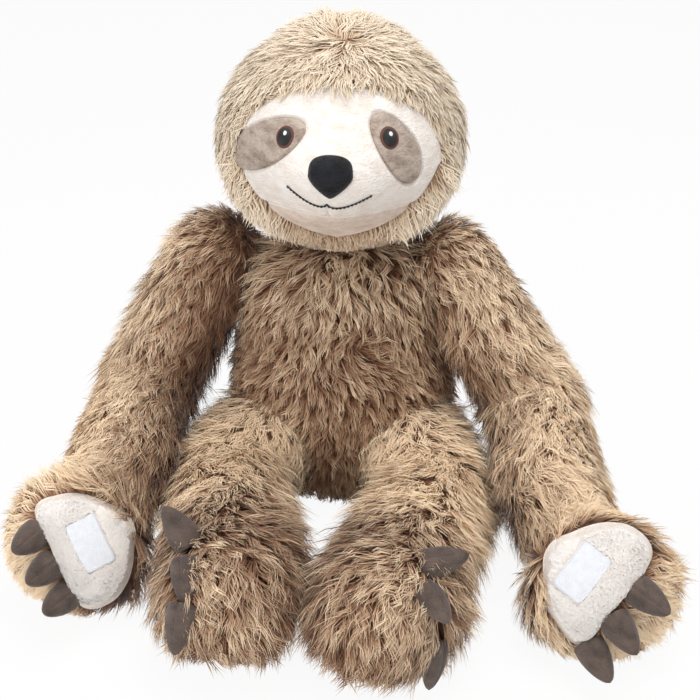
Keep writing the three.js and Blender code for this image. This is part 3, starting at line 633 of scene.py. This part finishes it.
def face_reach(across, up):
    """The way out of the head, and how far out the plush lies, with the muzzle proud."""
    spread = (across / muzzle_span[0]) ** 2 + ((up - muzzle_up) / muzzle_span[1]) ** 2
    way = facing(across, up) @ head_square.T
    return way, head_reach(way) - plush_depth + muzzle_proud * np.exp(-spread)


def on_face(across, up, proud=0.0):
    """A point on the plush, at degrees across and up from the head's front."""
    way, reach = face_reach(across, up)
    return head_centre + way * (reach + proud)[..., None]


def polar_mesh(place, rings, sides, power=1.0):
    """A disc of faces: place(share out, turn) gives the points of each ring."""
    turn = full_turn(sides)
    shares = (np.arange(1, rings + 1) / rings) ** power
    points = [place(np.zeros(1), turn[:1])]
    points += [place(np.full(sides, share), turn) for share in shares]
    points = np.concatenate(points)
    faces = [(0, 1 + i, 1 + (i + 1) % sides) for i in range(sides)]
    for ring in range(rings - 1):
        low, high = 1 + ring * sides, 1 + (ring + 1) * sides
        for i in range(sides):
            j = (i + 1) % sides
            faces.append((low + i, high + i, high + j, low + j))
    mesh = bpy.data.meshes.new("disc")
    mesh.from_pydata([tuple(p) for p in points * MM], [], faces)
    return mesh


@dataclass
class EyePatch:
    """An oval patch. Its middle, the halves of its length and width, and its slope are in
    degrees, seen from the middle of the head."""
    sign: int
    middle_out: float
    middle_up: float
    half_long: float
    half_short: float
    slope: float
    eye_out: float

    def __post_init__(self):
        slope = math.radians(self.slope)
        self.run, self.climb = math.cos(slope), math.sin(slope)

    def share(self, across, up):
        """0 in the middle of the patch and 1 at its edge."""
        out, rise = self.sign * across - self.middle_out, up - self.middle_up
        long, short = out * self.run + rise * self.climb, -out * self.climb + rise * self.run
        return np.hypot(long / self.half_long, short / self.half_short)

    def point(self, share, turn):
        """A point of the patch, held inside the edge of the face."""
        long = self.half_long * share * np.cos(turn)
        short = self.half_short * share * np.sin(turn)
        out = self.middle_out + long * self.run - short * self.climb
        up = self.middle_up + long * self.climb + short * self.run
        pull = np.minimum(1, 1 / np.maximum(face_share(out, up), 1e-6))
        out, up = out * pull, face_middle[1] + (up - face_middle[1]) * pull
        proud = 0.4 - 2.2 * fade(0.9, 1.0, share)
        return on_face(self.sign * out, up, proud)


patches = {
    "left": EyePatch(1, 31, 8.5, half_long=20.5, half_short=10.5, slope=-58, eye_out=26),
    "right": EyePatch(-1, 40.5, 8, half_long=28, half_short=11.2, slope=-25, eye_out=25),
}


def panel_point(share, turn):
    """A point of the face's plush, drawn in at its edge, under the patches and at its seams."""
    reach = panel_overlap * face_edge(turn) * share
    across = face_middle[0] + face_span[0] * reach * np.cos(turn)
    up = face_middle[1] + face_span[1] * reach * np.sin(turn)
    proud = -panel_edge_fall * fade(0.93, 1.02, share)
    for patch in patches.values():
        proud -= patch_hollow * (1 - fade(0.98, 1.07, patch.share(across, up)))
    drop = ((on_face(across, up) - head_centre) @ head_square)[:, 2]
    proud -= chin_seam_deep * np.exp(-(((drop - chin_drop) / chin_seam_wide) ** 2))
    seam = np.exp(-(((across - lip_across) / lip_seam_wide) ** 2))
    seam = seam * fade(-11.5, -14, up) * (drop > chin_drop)
    proud -= lip_seam_deep * seam
    return on_face(across, up, proud)


upright = head_square @ np.array([0, 0, 1.0])
for name, cloth, above in (("face_panel", cream_plush, True), ("chin_panel", chin_plush_painted_shade, False)):
    mesh = polar_mesh(panel_point, rings=110, sides=260)
    bm = bmesh.new()
    bm.from_mesh(mesh)
    bmesh.ops.bisect_plane(
        bm, geom=bm.verts[:] + bm.edges[:] + bm.faces[:],
        plane_co=Vector((head_centre + chin_drop * upright) * MM), plane_no=Vector(upright),
        clear_inner=above, clear_outer=not above,
    )
    bm.to_mesh(mesh)
    bm.free()
    new_piece(f"{name}_cloth", mesh, cloth, "head", (name,))


# The eye patches and eyes. Each patch is an oval of grey plush that slopes down and out to the
# hood. The eye on it is embroidered: black satin stitch with a dark red-brown rim and a white
# glint.
eye_up, rim_halves, eye_halves = 14, (5.2, 5.3), (4.1, 4.3)
glint_across, glint_up, glint_halves = 0.4, 15.6, (1.0, 1.1)


def thread_finish(name, colour, roughness=0.45):
    """Embroidery thread: close parallel stitches with a soft shine."""
    finish, tree, place = new_cloth(name)
    stitches = add_node(tree, "TexWave", {"Vector": place, "Scale": 700, "Distortion": 1.5})
    bump = add_node(tree, "Bump", {"Height": stitches, "Strength": 0.5, "Distance": 0.0003})
    add_surface(tree, Base_Color=(*colour, 1), Normal=bump, Roughness=roughness)
    return finish


black_thread = thread_finish("black_thread", (0.008, 0.007, 0.007), roughness=0.38)
rim_thread = thread_finish("rim_thread", srgb(98, 56, 43))
glint_thread = thread_finish("glint_thread", srgb(240, 240, 240))


def dome(name, centre, halves, proud, crown, thread, replaced=(), rings=14, sides=40):
    """A low padded oval on the face, in degrees across and up, embroidered in thread."""
    def point(share, turn):
        across = centre[0] + halves[0] * share * np.cos(turn)
        up = centre[1] + halves[1] * share * np.sin(turn)
        return on_face(across, up, proud + crown * np.sqrt(np.maximum(1 - share**2, 0)))

    new_piece(name, polar_mesh(point, rings, sides), thread, "head", replaced)


for side, patch in patches.items():
    mesh = polar_mesh(patch.point, rings=34, sides=120)
    new_piece(f"{side}_eye_patch_cloth", mesh, grey_plush, "head",
              (f"{side}_eye_patch",))
    across = patch.sign * patch.eye_out
    dome(f"{side}_eye_rim", (across, eye_up), rim_halves, 0.3, 1.1, rim_thread)
    dome(f"{side}_eye_stitches", (across, eye_up), eye_halves, 0.6, 1.7, black_thread,
         (f"{side}_eye",))
    dome(f"{side}_eye_glint", (across + glint_across, glint_up), glint_halves, 2.1, 0.5,
         glint_thread, rings=5, sides=16)


# The nose and the smile. The nose is a padded triangle of black velour, round above and drawn
# to a point below. The smile is a line of back stitch in thick black thread.
nose_across, nose_sunk, nose_crown = -1.7, 1.0, 8
nose_half_across, nose_half_up = 9, 8.3
smile_peak, smile_sag = np.array([-3, -9.9]), 3
smile_right_corner, smile_left_corner = (-21, -6.3), (15.2, -8.4)
smile_stitches, stitch_gap_share = 24, 0.06
velour = plush_finish("black_velour", (0.016, 0.017, 0.022), (0.003, 0.003, 0.004), sheen=0.1,
                      roughness=0.5, tuft=420.0)


def nose_point(share, turn):
    top = np.sin(turn)
    across = nose_half_across * np.cos(turn) * (1 - 0.62 * np.maximum(0, -top) ** 1.4)
    up = nose_half_up * np.where(top > 0, np.maximum(top, 0) ** 0.5, top)
    low = np.maximum(0, -top * share)
    crown = nose_crown * (1 - 0.45 * low) * np.sqrt(np.maximum(1 - share**2, 0))
    return on_face(nose_across + across * share, up * share, crown - nose_sunk)


mesh = polar_mesh(nose_point, rings=26, sides=72, power=0.7)
new_piece("nose_velour", mesh, velour, "head", ("nose",))


def smile_line(share, proud):
    """A point of the smile, from its right corner at -1 over its peak to its left one at 1."""
    cheek = np.abs(share)
    corner = np.where(share[:, None] < 0, smile_right_corner, smile_left_corner)
    across, up = (smile_peak + (corner - smile_peak) * cheek[:, None]).T
    return on_face(across, up - smile_sag * np.sin(math.pi * np.sqrt(cheek)), proud)


bm = bmesh.new()
ends = np.linspace(-1, 1, smile_stitches + 1)
inner = np.linspace(0, 1, 7)
stitch_lifts = 0.1 + 0.6 * np.sin(np.pi * inner)
stitch_radii = 0.2 + 0.45 * np.sqrt(np.sin(np.pi * np.clip(inner, 0.04, 0.96)))
for low, high in zip(ends, ends[1:]):
    gap = stitch_gap_share * (high - low)
    line = smile_line(low + gap + (high - low - 2 * gap) * inner, stitch_lifts)
    add_limb(bm, line, stitch_radii, sides=10, rows=9)
new_piece("smile_stitches", taken_mesh(bm), black_thread, "head", ("smile",))


# The arms. Each is a long stuffed sleeve, jointed at the shoulder and elbow, that ends in a
# broad mitten. The pile lies along the arm to the claws, and is longest towards the body.
shoulder_out, shoulder_up = 80, 182.1
sleeve_radius = 27
upper_arm_tufts, forearm_tufts, loose_share = 1600, 2600, 0.22


def all_over(spots, normals):
    return 1.0


def limb_piece(body, skin, tufts, seed, comb, length, tone, keep=all_over, **more):
    """A stuffed limb with its pile. tone is the shade, which may change over the limb, how much
    paler the pile is painted on the side that faces the light, as painted light, and which side
    that is."""
    new_piece(f"{body}_skin", skin, brown_backing, body,
              (f"{body}_cover", f"{body}_filling"))
    spots, normals = skin_points(skin, tufts, seed, keep)
    shade, paler, painted_light_way = tone
    shade = (shade(spots) if callable(shade) else shade) + paler * (normals @ unit(painted_light_way))
    grow_pile(f"{body}_pile", body, brown_pile, "brown_fur", spots, normals, comb(spots),
              length(spots, normals), seed + 1, tone=shade, under=loose_share, **more)


@dataclass
class Hand:
    """A hand: how far out and forward it lies, how far its fingers drop, how its pad, tape and
    claws are set, how far the claws lift, and how each is turned."""
    sign: int
    out: float
    forward: float
    drop: float
    pad: float
    tape: float
    claws: float
    lift: float
    turns: tuple

    def __post_init__(self):
        turn, drop = math.radians(view_turn), math.radians(self.drop)
        across = np.array([math.cos(turn), math.sin(turn), 0])
        self.palm = facing(view_turn, view_tilt)
        rise = np.cross(self.palm, across)
        self.fingers = self.sign * math.cos(drop) * across - math.sin(drop) * rise
        self.knuckles = np.cross(self.palm, self.fingers)
        self.axes = np.array([self.fingers, self.knuckles, self.palm])
        self.halves = np.array([50, 52, 28.0])
        height = span(self.axes[:, 2] * self.halves) - 0.5
        self.centre = np.array([self.sign * self.out, -self.forward, height])
        self.lift = math.tan(math.radians(self.lift))

    def over(self, long, across, proud=0.0):
        """A point on the palm, so far along the fingers and across the knuckles."""
        long, across = np.asarray(long, float), np.asarray(across, float)
        left = 1 - (long / self.halves[0]) ** 2 - (across / self.halves[1]) ** 2
        rise = self.halves[2] * np.sqrt(np.maximum(left, 0)) + proud
        return (
            self.centre + long[..., None] * self.fingers + across[..., None] * self.knuckles
            + rise[..., None] * self.palm
        )

    def local(self, points):
        return (points - self.centre) @ self.axes.T


@dataclass
class Arm:
    """One arm: its elbow, how far the sleeve's ends and middle lie from the joints, how much
    longer its pile is on the outside, round the shoulder and over the fingers, and its tones,
    with light painted on its upper outer side."""
    elbow: tuple
    shoulder_shift: tuple
    elbow_in: float
    middle_in: float
    outer_pile: float
    shoulder_pile: float
    finger_pile: float
    shade: float
    forearm_shade: float
    painted_light_side: tuple
    hand: Hand

    def __post_init__(self):
        self.out = np.array([self.hand.sign, 0, 0.0])
        self.shoulder = np.array([self.hand.sign * shoulder_out, 0, shoulder_up])
        self.elbow = np.array(self.elbow, float)
        self.top = self.shoulder + self.shoulder_shift
        self.bend = self.elbow - self.elbow_in * self.out
        self.middle = self.elbow * 0.5 + self.hand.centre * 0.5 - self.middle_in * self.out


arms = {
    "left": Arm(
        elbow=(150, -33, 88), shoulder_shift=(-3, 0, -2), elbow_in=7, middle_in=10,
        outer_pile=2, shoulder_pile=-6, finger_pile=2, shade=0.0, forearm_shade=0.12,
        painted_light_side=(0.28, [0.7, -0.1, 0.7]),
        hand=Hand(1, out=175, forward=174, drop=38, pad=2, tape=-21, claws=-8, lift=42,
                  turns=(-0.5, -0.45, 0.05)),
    ),
    "right": Arm(
        elbow=(-152, -28, 88), shoulder_shift=(-9, 0, 0), elbow_in=10, middle_in=8,
        outer_pile=7, shoulder_pile=10, finger_pile=-10, shade=-0.2, forearm_shade=0,
        painted_light_side=(0.46, [-0.8, 0, 0.6]),
        hand=Hand(-1, out=159, forward=166, drop=26, pad=1, tape=-17, claws=2, lift=58,
                  turns=(0.4, 0.25, 0.14)),
    ),
}


def make_upper_arm(body, arm, seed):
    bm = bmesh.new()
    add_limb(bm, [arm.top, arm.bend], [28, sleeve_radius])
    for end in (arm.top, arm.bend):
        add_ball(bm, end, [sleeve_radius] * 3)

    def to_the_elbow(spots):
        return unit(arm.elbow - arm.shoulder) + 0.45 * swirl(spots, 60, 31)

    def pile_length(spots, normals):
        outer = normals @ arm.out
        near = fade(75, 25, span(spots - arm.shoulder))
        reach = np.where(outer < 0, 11, arm.outer_pile) * (1 - near)
        reach += arm.shoulder_pile * near * (outer > 0)
        return 22 + reach * np.abs(outer) - 5 * near * fade(0.2, 0.7, normals[:, 2])

    # The pile is painted paler on its upper outer side, as painted light.
    limb_piece(body, stuffed_form(bm), upper_arm_tufts, seed, to_the_elbow, pile_length,
               (arm.shade, *arm.painted_light_side))


# The palm. A pad of cream plush is sewn into the fur, straight along the claws and round at
# the wrist, with a short cream nap. A strip of white fastening tape is sewn on it.
pad_back, pad_overlap, pad_crown, pad_edge_fall = 15, 1.03, 2.4, 7
pad_size = 40
pad_reach_shares = np.array([
    0.62, 0.73, 1.06, 1.01, 0.84, 0.7, 0.63, 0.65, 0.65, 0.62, 0.65, 0.76, 0.9, 1.04, 0.69, 0.6,
])
palm_tufts, nap_length = 3000, 2.6
tape_half_long, tape_half_wide, tape_margin = 10.2, 17.2, 0.3
tape_proud, tape_edge_fall = 3.4, 1.9
cream_pile = pile_finish("cream_pile", srgb(244, 234, 225), srgb(249, 243, 237),
                         srgb(252, 249, 246), dark=0.95, light=1.02)


def pad_reach(turn):
    """How far the pad reaches from its middle, on a smooth curve through its 16 reaches."""
    at = (turn / (2 * math.pi) * 16 - 0.5) % 16
    low = np.floor(at).astype(int)
    t = at - low
    a, b, c, d = (pad_size * pad_reach_shares[(low + k) % 16] for k in (-1, 0, 1, 2))
    return b + t * (c - a + t * (2 * a - 5 * b + 4 * c - d + t * (3 * (b - c) + d - a))) / 2


def pad_share(hand, long, across):
    """0 in the middle of the palm pad and 1 at its edge."""
    long, across = long + pad_back, across - hand.pad
    return np.hypot(long, across) / pad_reach(np.arctan2(across, long))


def make_forearm(body, arm, seed):
    hand = arm.hand
    bm = bmesh.new()
    add_limb(bm, [arm.bend, arm.middle, hand.centre - 2 * arm.out], [sleeve_radius, 29, 21])
    add_ball(bm, arm.bend, [sleeve_radius] * 3)
    add_ball(bm, hand.centre, hand.halves - [9, 9, 8], hand.axes)

    def off_the_pad(spots, normals):
        long, across, out = hand.local(spots).T
        return ~((pad_share(hand, long, across) < 1.02) & (out > 4)) * 1.0

    def to_the_claws(spots):
        place = hand.local(spots)
        near = fade(75, 25, span(place))[:, None]
        fan = hand.fingers + 0.5 * unit(place[:, :2]) @ hand.axes[:2] - 0.15 * hand.palm
        way = unit(hand.centre - arm.elbow)
        return (1 - near) * way + near * fan + 0.4 * swirl(spots, 60, 33)

    def pile_length(spots, normals):
        near = fade(75, 45, span(spots - hand.centre))
        inside = np.maximum(-normals @ arm.out, -0.1) * (1 - 0.6 * near)
        below = fade(0.1, 0.7, normals @ [0, -0.5, -0.86]) * near
        over_fingers = arm.finger_pile * near * (normals @ hand.fingers)
        return 20 + 14 * inside + over_fingers - 10 * below

    def paler_hand(spots):
        near = fade(80, 50, span(spots - hand.centre))
        return arm.forearm_shade + 0.2 * near

    skin = stuffed_form(bm)
    for vert in skin.vertices:
        place = hand.local(np.array(vert.co)[None] / MM)[0]
        if place[2] > 0 and pad_share(hand, place[0], place[1]) < 1.12:
            top = hand.local(hand.over(place[0], place[1])[None])[0][2] - 6
            if place[2] > top:
                vert.co -= Vector(hand.palm) * (place[2] - top) * MM
    skin.update()
    # The pile is paler towards the hand, and painted paler on its upper outer side, as painted
    # light.
    limb_piece(body, skin, forearm_tufts, seed, to_the_claws, pile_length,
               tone=(paler_hand, *arm.painted_light_side), keep=off_the_pad)


def make_palm(side, hand, body, spots_seed, nap_seed):
    def pad_point(share, turn):
        share = share * pad_overlap
        reach = pad_reach(turn) * share
        proud = pad_crown * np.sqrt(np.maximum(1 - share**2, 0))
        proud = proud - pad_edge_fall * fade(0.9, 1.03, share)
        return hand.over(reach * np.cos(turn) - pad_back, reach * np.sin(turn) + hand.pad, proud)

    def off_the_tape(spots, normals):
        long, across, _ = hand.local(spots).T
        bare = np.abs(long - hand.tape) < tape_half_long + tape_margin
        bare = bare & (np.abs(across - hand.pad) < tape_half_wide + tape_margin)
        return (pad_share(hand, long, across) < 0.9) * ~bare * 1.0

    mesh = polar_mesh(pad_point, rings=46, sides=150)
    new_piece(f"{side}_palm_cloth", mesh, cream_plush, body,
              (f"{side}_palm_pad",))
    spots, normals = skin_points(mesh, palm_tufts, spots_seed, off_the_tape)
    comb = -0.6 * hand.fingers + 0.5 * swirl(spots, 25, 35)
    grow_pile(f"{side}_palm_pile", body, cream_pile, "cream_plush", spots, normals, comb,
              nap_length, nap_seed, per_tuft=5, spread=1.1, lean=(30, 80), width=0.45, under=0.0,
              silky=6.0)


tape_cloth, tree, place = new_cloth("tape_cloth")
loops = add_node(tree, "TexVoronoi", {"Vector": place, "Scale": 1500})
fuzz = add_node(tree, "TexNoise", {"Vector": place, "Scale": 240, "Detail": 4})
height = add_node(tree, "Math", {0: loops, 1: 0.8, 2: fuzz}, operation="MULTIPLY_ADD")
bump = add_node(tree, "Bump", {"Height": height, "Strength": 0.8, "Distance": 0.0005})
tones = add_node(tree, "Mix", {
    0: fuzz, 6: (*srgb(214, 217, 224), 1), 7: (*srgb(238, 239, 243), 1),
}, data_type="RGBA")
add_surface(tree, Base_Color=tones.outputs[2], Normal=bump, Roughness=0.6)


def make_tape(side, hand, body):
    """A strip of fastening tape with round corners, its edge sewn down to the palm."""
    def tape_point(share, turn):
        corner = 1 / (np.abs(np.cos(turn)) ** 10 + np.abs(np.sin(turn)) ** 10) ** 0.1
        long = hand.tape + tape_half_long * share * corner * np.cos(turn)
        across = hand.pad + tape_half_wide * share * corner * np.sin(turn)
        proud = tape_proud - tape_edge_fall * fade(0.93, 1.0, share)
        return hand.over(long, across, proud)

    mesh = polar_mesh(tape_point, rings=24, sides=120)
    new_piece(f"{side}_tape_cloth", mesh, tape_cloth, body, (f"{side}_tape",))


# The claws. Each is a stuffed horn of dark grey-brown plush with a seam along its top and its
# underside. Three stand in a row along the edge of each hand, and three on each foot.
claw_length, claw_curl, claw_half_wide, claw_half_thick = 27.4, 5, 9.7, 8
claw_seam_deep, claw_seam_wide = 0.15, 0.11
claw_steps = [0, 0.15, 0.3, 0.5, 0.68, 0.82, 0.91, 0.97, 1.0]
claw_girth_shares = [1, 1.02, 0.99, 0.87, 0.7, 0.52, 0.37, 0.22, 0.06]
hand_claw_along, hand_claw_apart, claw_sunk = 11, 22, 4
claw_plush = plush_finish("claw_plush", srgb(104, 90, 83), srgb(74, 63, 58), sheen=0.3,
                          roughness=0.85, tuft=900.0, depth=0.0007)


def claw_piece(node, body, root, along, lift):
    """A claw that runs along from its root, tapers, and curls away from lift to a round tip."""
    wide = unit(np.cross(along, lift))
    rise = unit(np.cross(wide, along))
    steps = np.linspace(0, 1, 26)
    girths = np.interp(steps, claw_steps, claw_girth_shares)
    middle = root + claw_length * steps[:, None] * along - claw_curl * (steps**2)[:, None] * rise
    turn = full_turn(60)
    seam = 1 - claw_seam_deep * np.exp(-((np.cos(turn) / claw_seam_wide) ** 2))
    across = claw_half_wide * np.outer(np.cos(turn), wide)
    thick = claw_half_thick * np.outer(np.sin(turn), rise)
    rings = [m + s * seam[:, None] * (across + thick) for m, s in zip(middle, girths)]
    bm = bmesh.new()
    ring_skin(bm, rings, (middle[0], middle[-1] + 0.3 * along))
    bmesh.ops.recalc_face_normals(bm, faces=bm.faces)
    for vert in bm.verts:
        vert.co.z = max(vert.co.z, 0.4 * MM)
    new_piece(f"{node}_horn", taken_mesh(bm), claw_plush, body, (node,))


for number, (side, arm) in enumerate(arms.items()):
    hand, body = arm.hand, f"{side}_forearm"
    make_upper_arm(f"{side}_upper_arm", arm, 300 + 10 * number)
    make_forearm(body, arm, 340 + 10 * number)
    make_palm(side, hand, body, 380 + number, 384 + number)
    make_tape(side, hand, body)
    for i, turn in enumerate(hand.turns):
        root = hand.over(hand_claw_along, (i - 1) * hand_claw_apart + hand.claws, -claw_sunk)
        along = unit(hand.fingers + turn * hand.knuckles + hand.lift * hand.palm)
        claw_piece(f"{side}_hand_claw_{i + 1}", body, root, along, -hand.palm)


# The legs. They are short, thick and stuffed, jointed at the hip and knee, and lie along the
# table with the soles turned out to the front. The pile runs to the foot and fans away from
# its claws.
hip_out, hip_forward, hip_up = 50, 30, 45
knee_in, knee_radius = 6, 30
foot_halves = (38, 47, 38)
claw_reaches, foot_claw_sunk = [47, 56, 47], 8
thigh_tufts, foot_tufts = 1400, 2600


@dataclass
class Leg:
    """One leg: its joints, how far its sole is pushed from the foot's middle, the painted shade of
    its foot at the sole, and for each claw the ways from the foot's middle to its root and on to
    its tip."""
    sign: int
    knee: tuple
    foot: tuple
    sole_shift: tuple
    painted_sole_shade: float
    claws: tuple

    def __post_init__(self):
        self.hip = np.array([self.sign * hip_out, -hip_forward, hip_up], float)
        self.knee, self.foot = np.array(self.knee, float), np.array(self.foot, float)
        self.bend = self.knee - [knee_in * self.sign, 0, 0]
        self.sole = self.foot + self.sole_shift

    def claw_places(self):
        """The root of each claw, the way that it points, and the way out of the foot there."""
        for spot, along in self.claws:
            spot = unit(spot)
            yield self.foot + spot * claw_reaches - foot_claw_sunk * spot, unit(along), spot


legs = {
    "left": Leg(
        1, knee=(80, -92, 42), foot=(46, -194, 46.5), sole_shift=(1, -4, 0), painted_sole_shade=-0.26,
        claws=(
            ((0.52, -0.16, 0.84), (0.9, 0.1, 0.42)), ((0.54, -0.47, 0.7), (0.56, -0.8, 0.2)),
            ((0.72, -0.69, -0.02), (0.1, -0.7, -0.7)),
        ),
    ),
    "right": Leg(
        -1, knee=(-82, -84, 42), foot=(-59, -192, 46.5), sole_shift=(6, 0, 0), painted_sole_shade=-0.3,
        claws=(
            ((-0.38, -0.12, 0.92), (-0.6, 0.3, 0.75)), ((-0.37, -0.37, 0.85), (0.1, -0.9, -0.3)),
            ((-0.31, -0.82, 0.48), (-0.15, -0.85, -0.5)),
        ),
    ),
}


def make_thigh(body, leg, seed):
    bm = bmesh.new()
    add_limb(bm, [leg.hip, leg.bend], [36, 32])
    add_ball(bm, leg.hip, [34] * 3)
    add_ball(bm, leg.bend, [knee_radius] * 3)

    def down_both_sides(spots):
        way = unit(leg.knee - leg.hip)
        aside = unit(np.cross([0, 0, 1], way))
        parted = np.tanh((spots - leg.hip) @ aside / 15)[:, None] * aside
        return 0.7 * parted + 0.8 * way + np.array([0, 0, -0.4]) + 0.3 * swirl(spots, 60, 41)

    def pile_length(spots, normals):
        return 22 + 12 * np.maximum(leg.sign * normals[:, 0], 0)

    # The thigh's pile is painted paler, most on its upper side, as painted light.
    limb_piece(body, stuffed_form(bm), thigh_tufts, seed, down_both_sides, pile_length,
               tone=(0.4, 0.22, [0, -0.3, 0.95]), gather=0.25, vary=0.45)


def make_foot(body, leg, seed):
    along = unit((leg.foot - leg.knee) * [1, 1, 0])
    axes = np.array([np.cross([0, 0, 1], along), along, [0, 0, 1]])
    bm = bmesh.new()
    add_limb(bm, [leg.bend, leg.sole], [knee_radius, 37])
    add_ball(bm, leg.bend, [knee_radius] * 3)
    add_ball(bm, leg.sole, foot_halves, axes)

    def off_the_table(spots, normals):
        return (spots[:, 2] > 1.0) * 1.0

    def from_the_claws(spots):
        first, _, last = (root - leg.foot for root, _, _ in leg.claw_places())
        row = unit(np.cross(first, last))
        off = (spots - leg.foot) @ row
        ahead = fade(-25, 10, (spots - leg.foot) @ along)
        fan = (np.sign(off) * np.exp(-((off / 34) ** 2)) * ahead)[:, None] * row
        return 0.8 * fan + 0.7 * along + np.array([0, 0, -0.75]) + 0.4 * swirl(spots, 60, 43)

    def pile_length(spots, normals):
        out, up = normals[:, 0], normals[:, 2]
        return (
            20 + 10 * np.abs(out) * fade(-0.5, 0.2, up)
            + 14 * np.maximum(-leg.sign * out * up, 0)
            - 8 * np.maximum(-up, 0) - 4 * fade(40, 15, spots[:, 2])
        )

    # The pile is painted darker at the sole and near the table, as painted shade, and paler towards
    # the knee; its upper side is painted paler as painted light.
    def painted_foot_shade(spots):
        higher = fade(45, 85, span(spots - leg.sole))
        return leg.painted_sole_shade + 0.65 * higher - 0.14 * fade(45, 15, spots[:, 2])

    limb_piece(body, stuffed_form(bm), foot_tufts, seed, from_the_claws, pile_length,
               tone=(painted_foot_shade, 0.26, [0.3 * leg.sign, -0.2, 0.9]), keep=off_the_table, gather=0.3)


for number, (side, leg) in enumerate(legs.items()):
    body = f"{side}_foot"
    make_thigh(f"{side}_thigh", leg, 400 + 10 * number)
    make_foot(body, leg, 440 + 10 * number)
    for i, (root, along, spot) in enumerate(leg.claw_places()):
        claw_piece(f"{body}_claw_{i + 1}", body, root, along, spot)
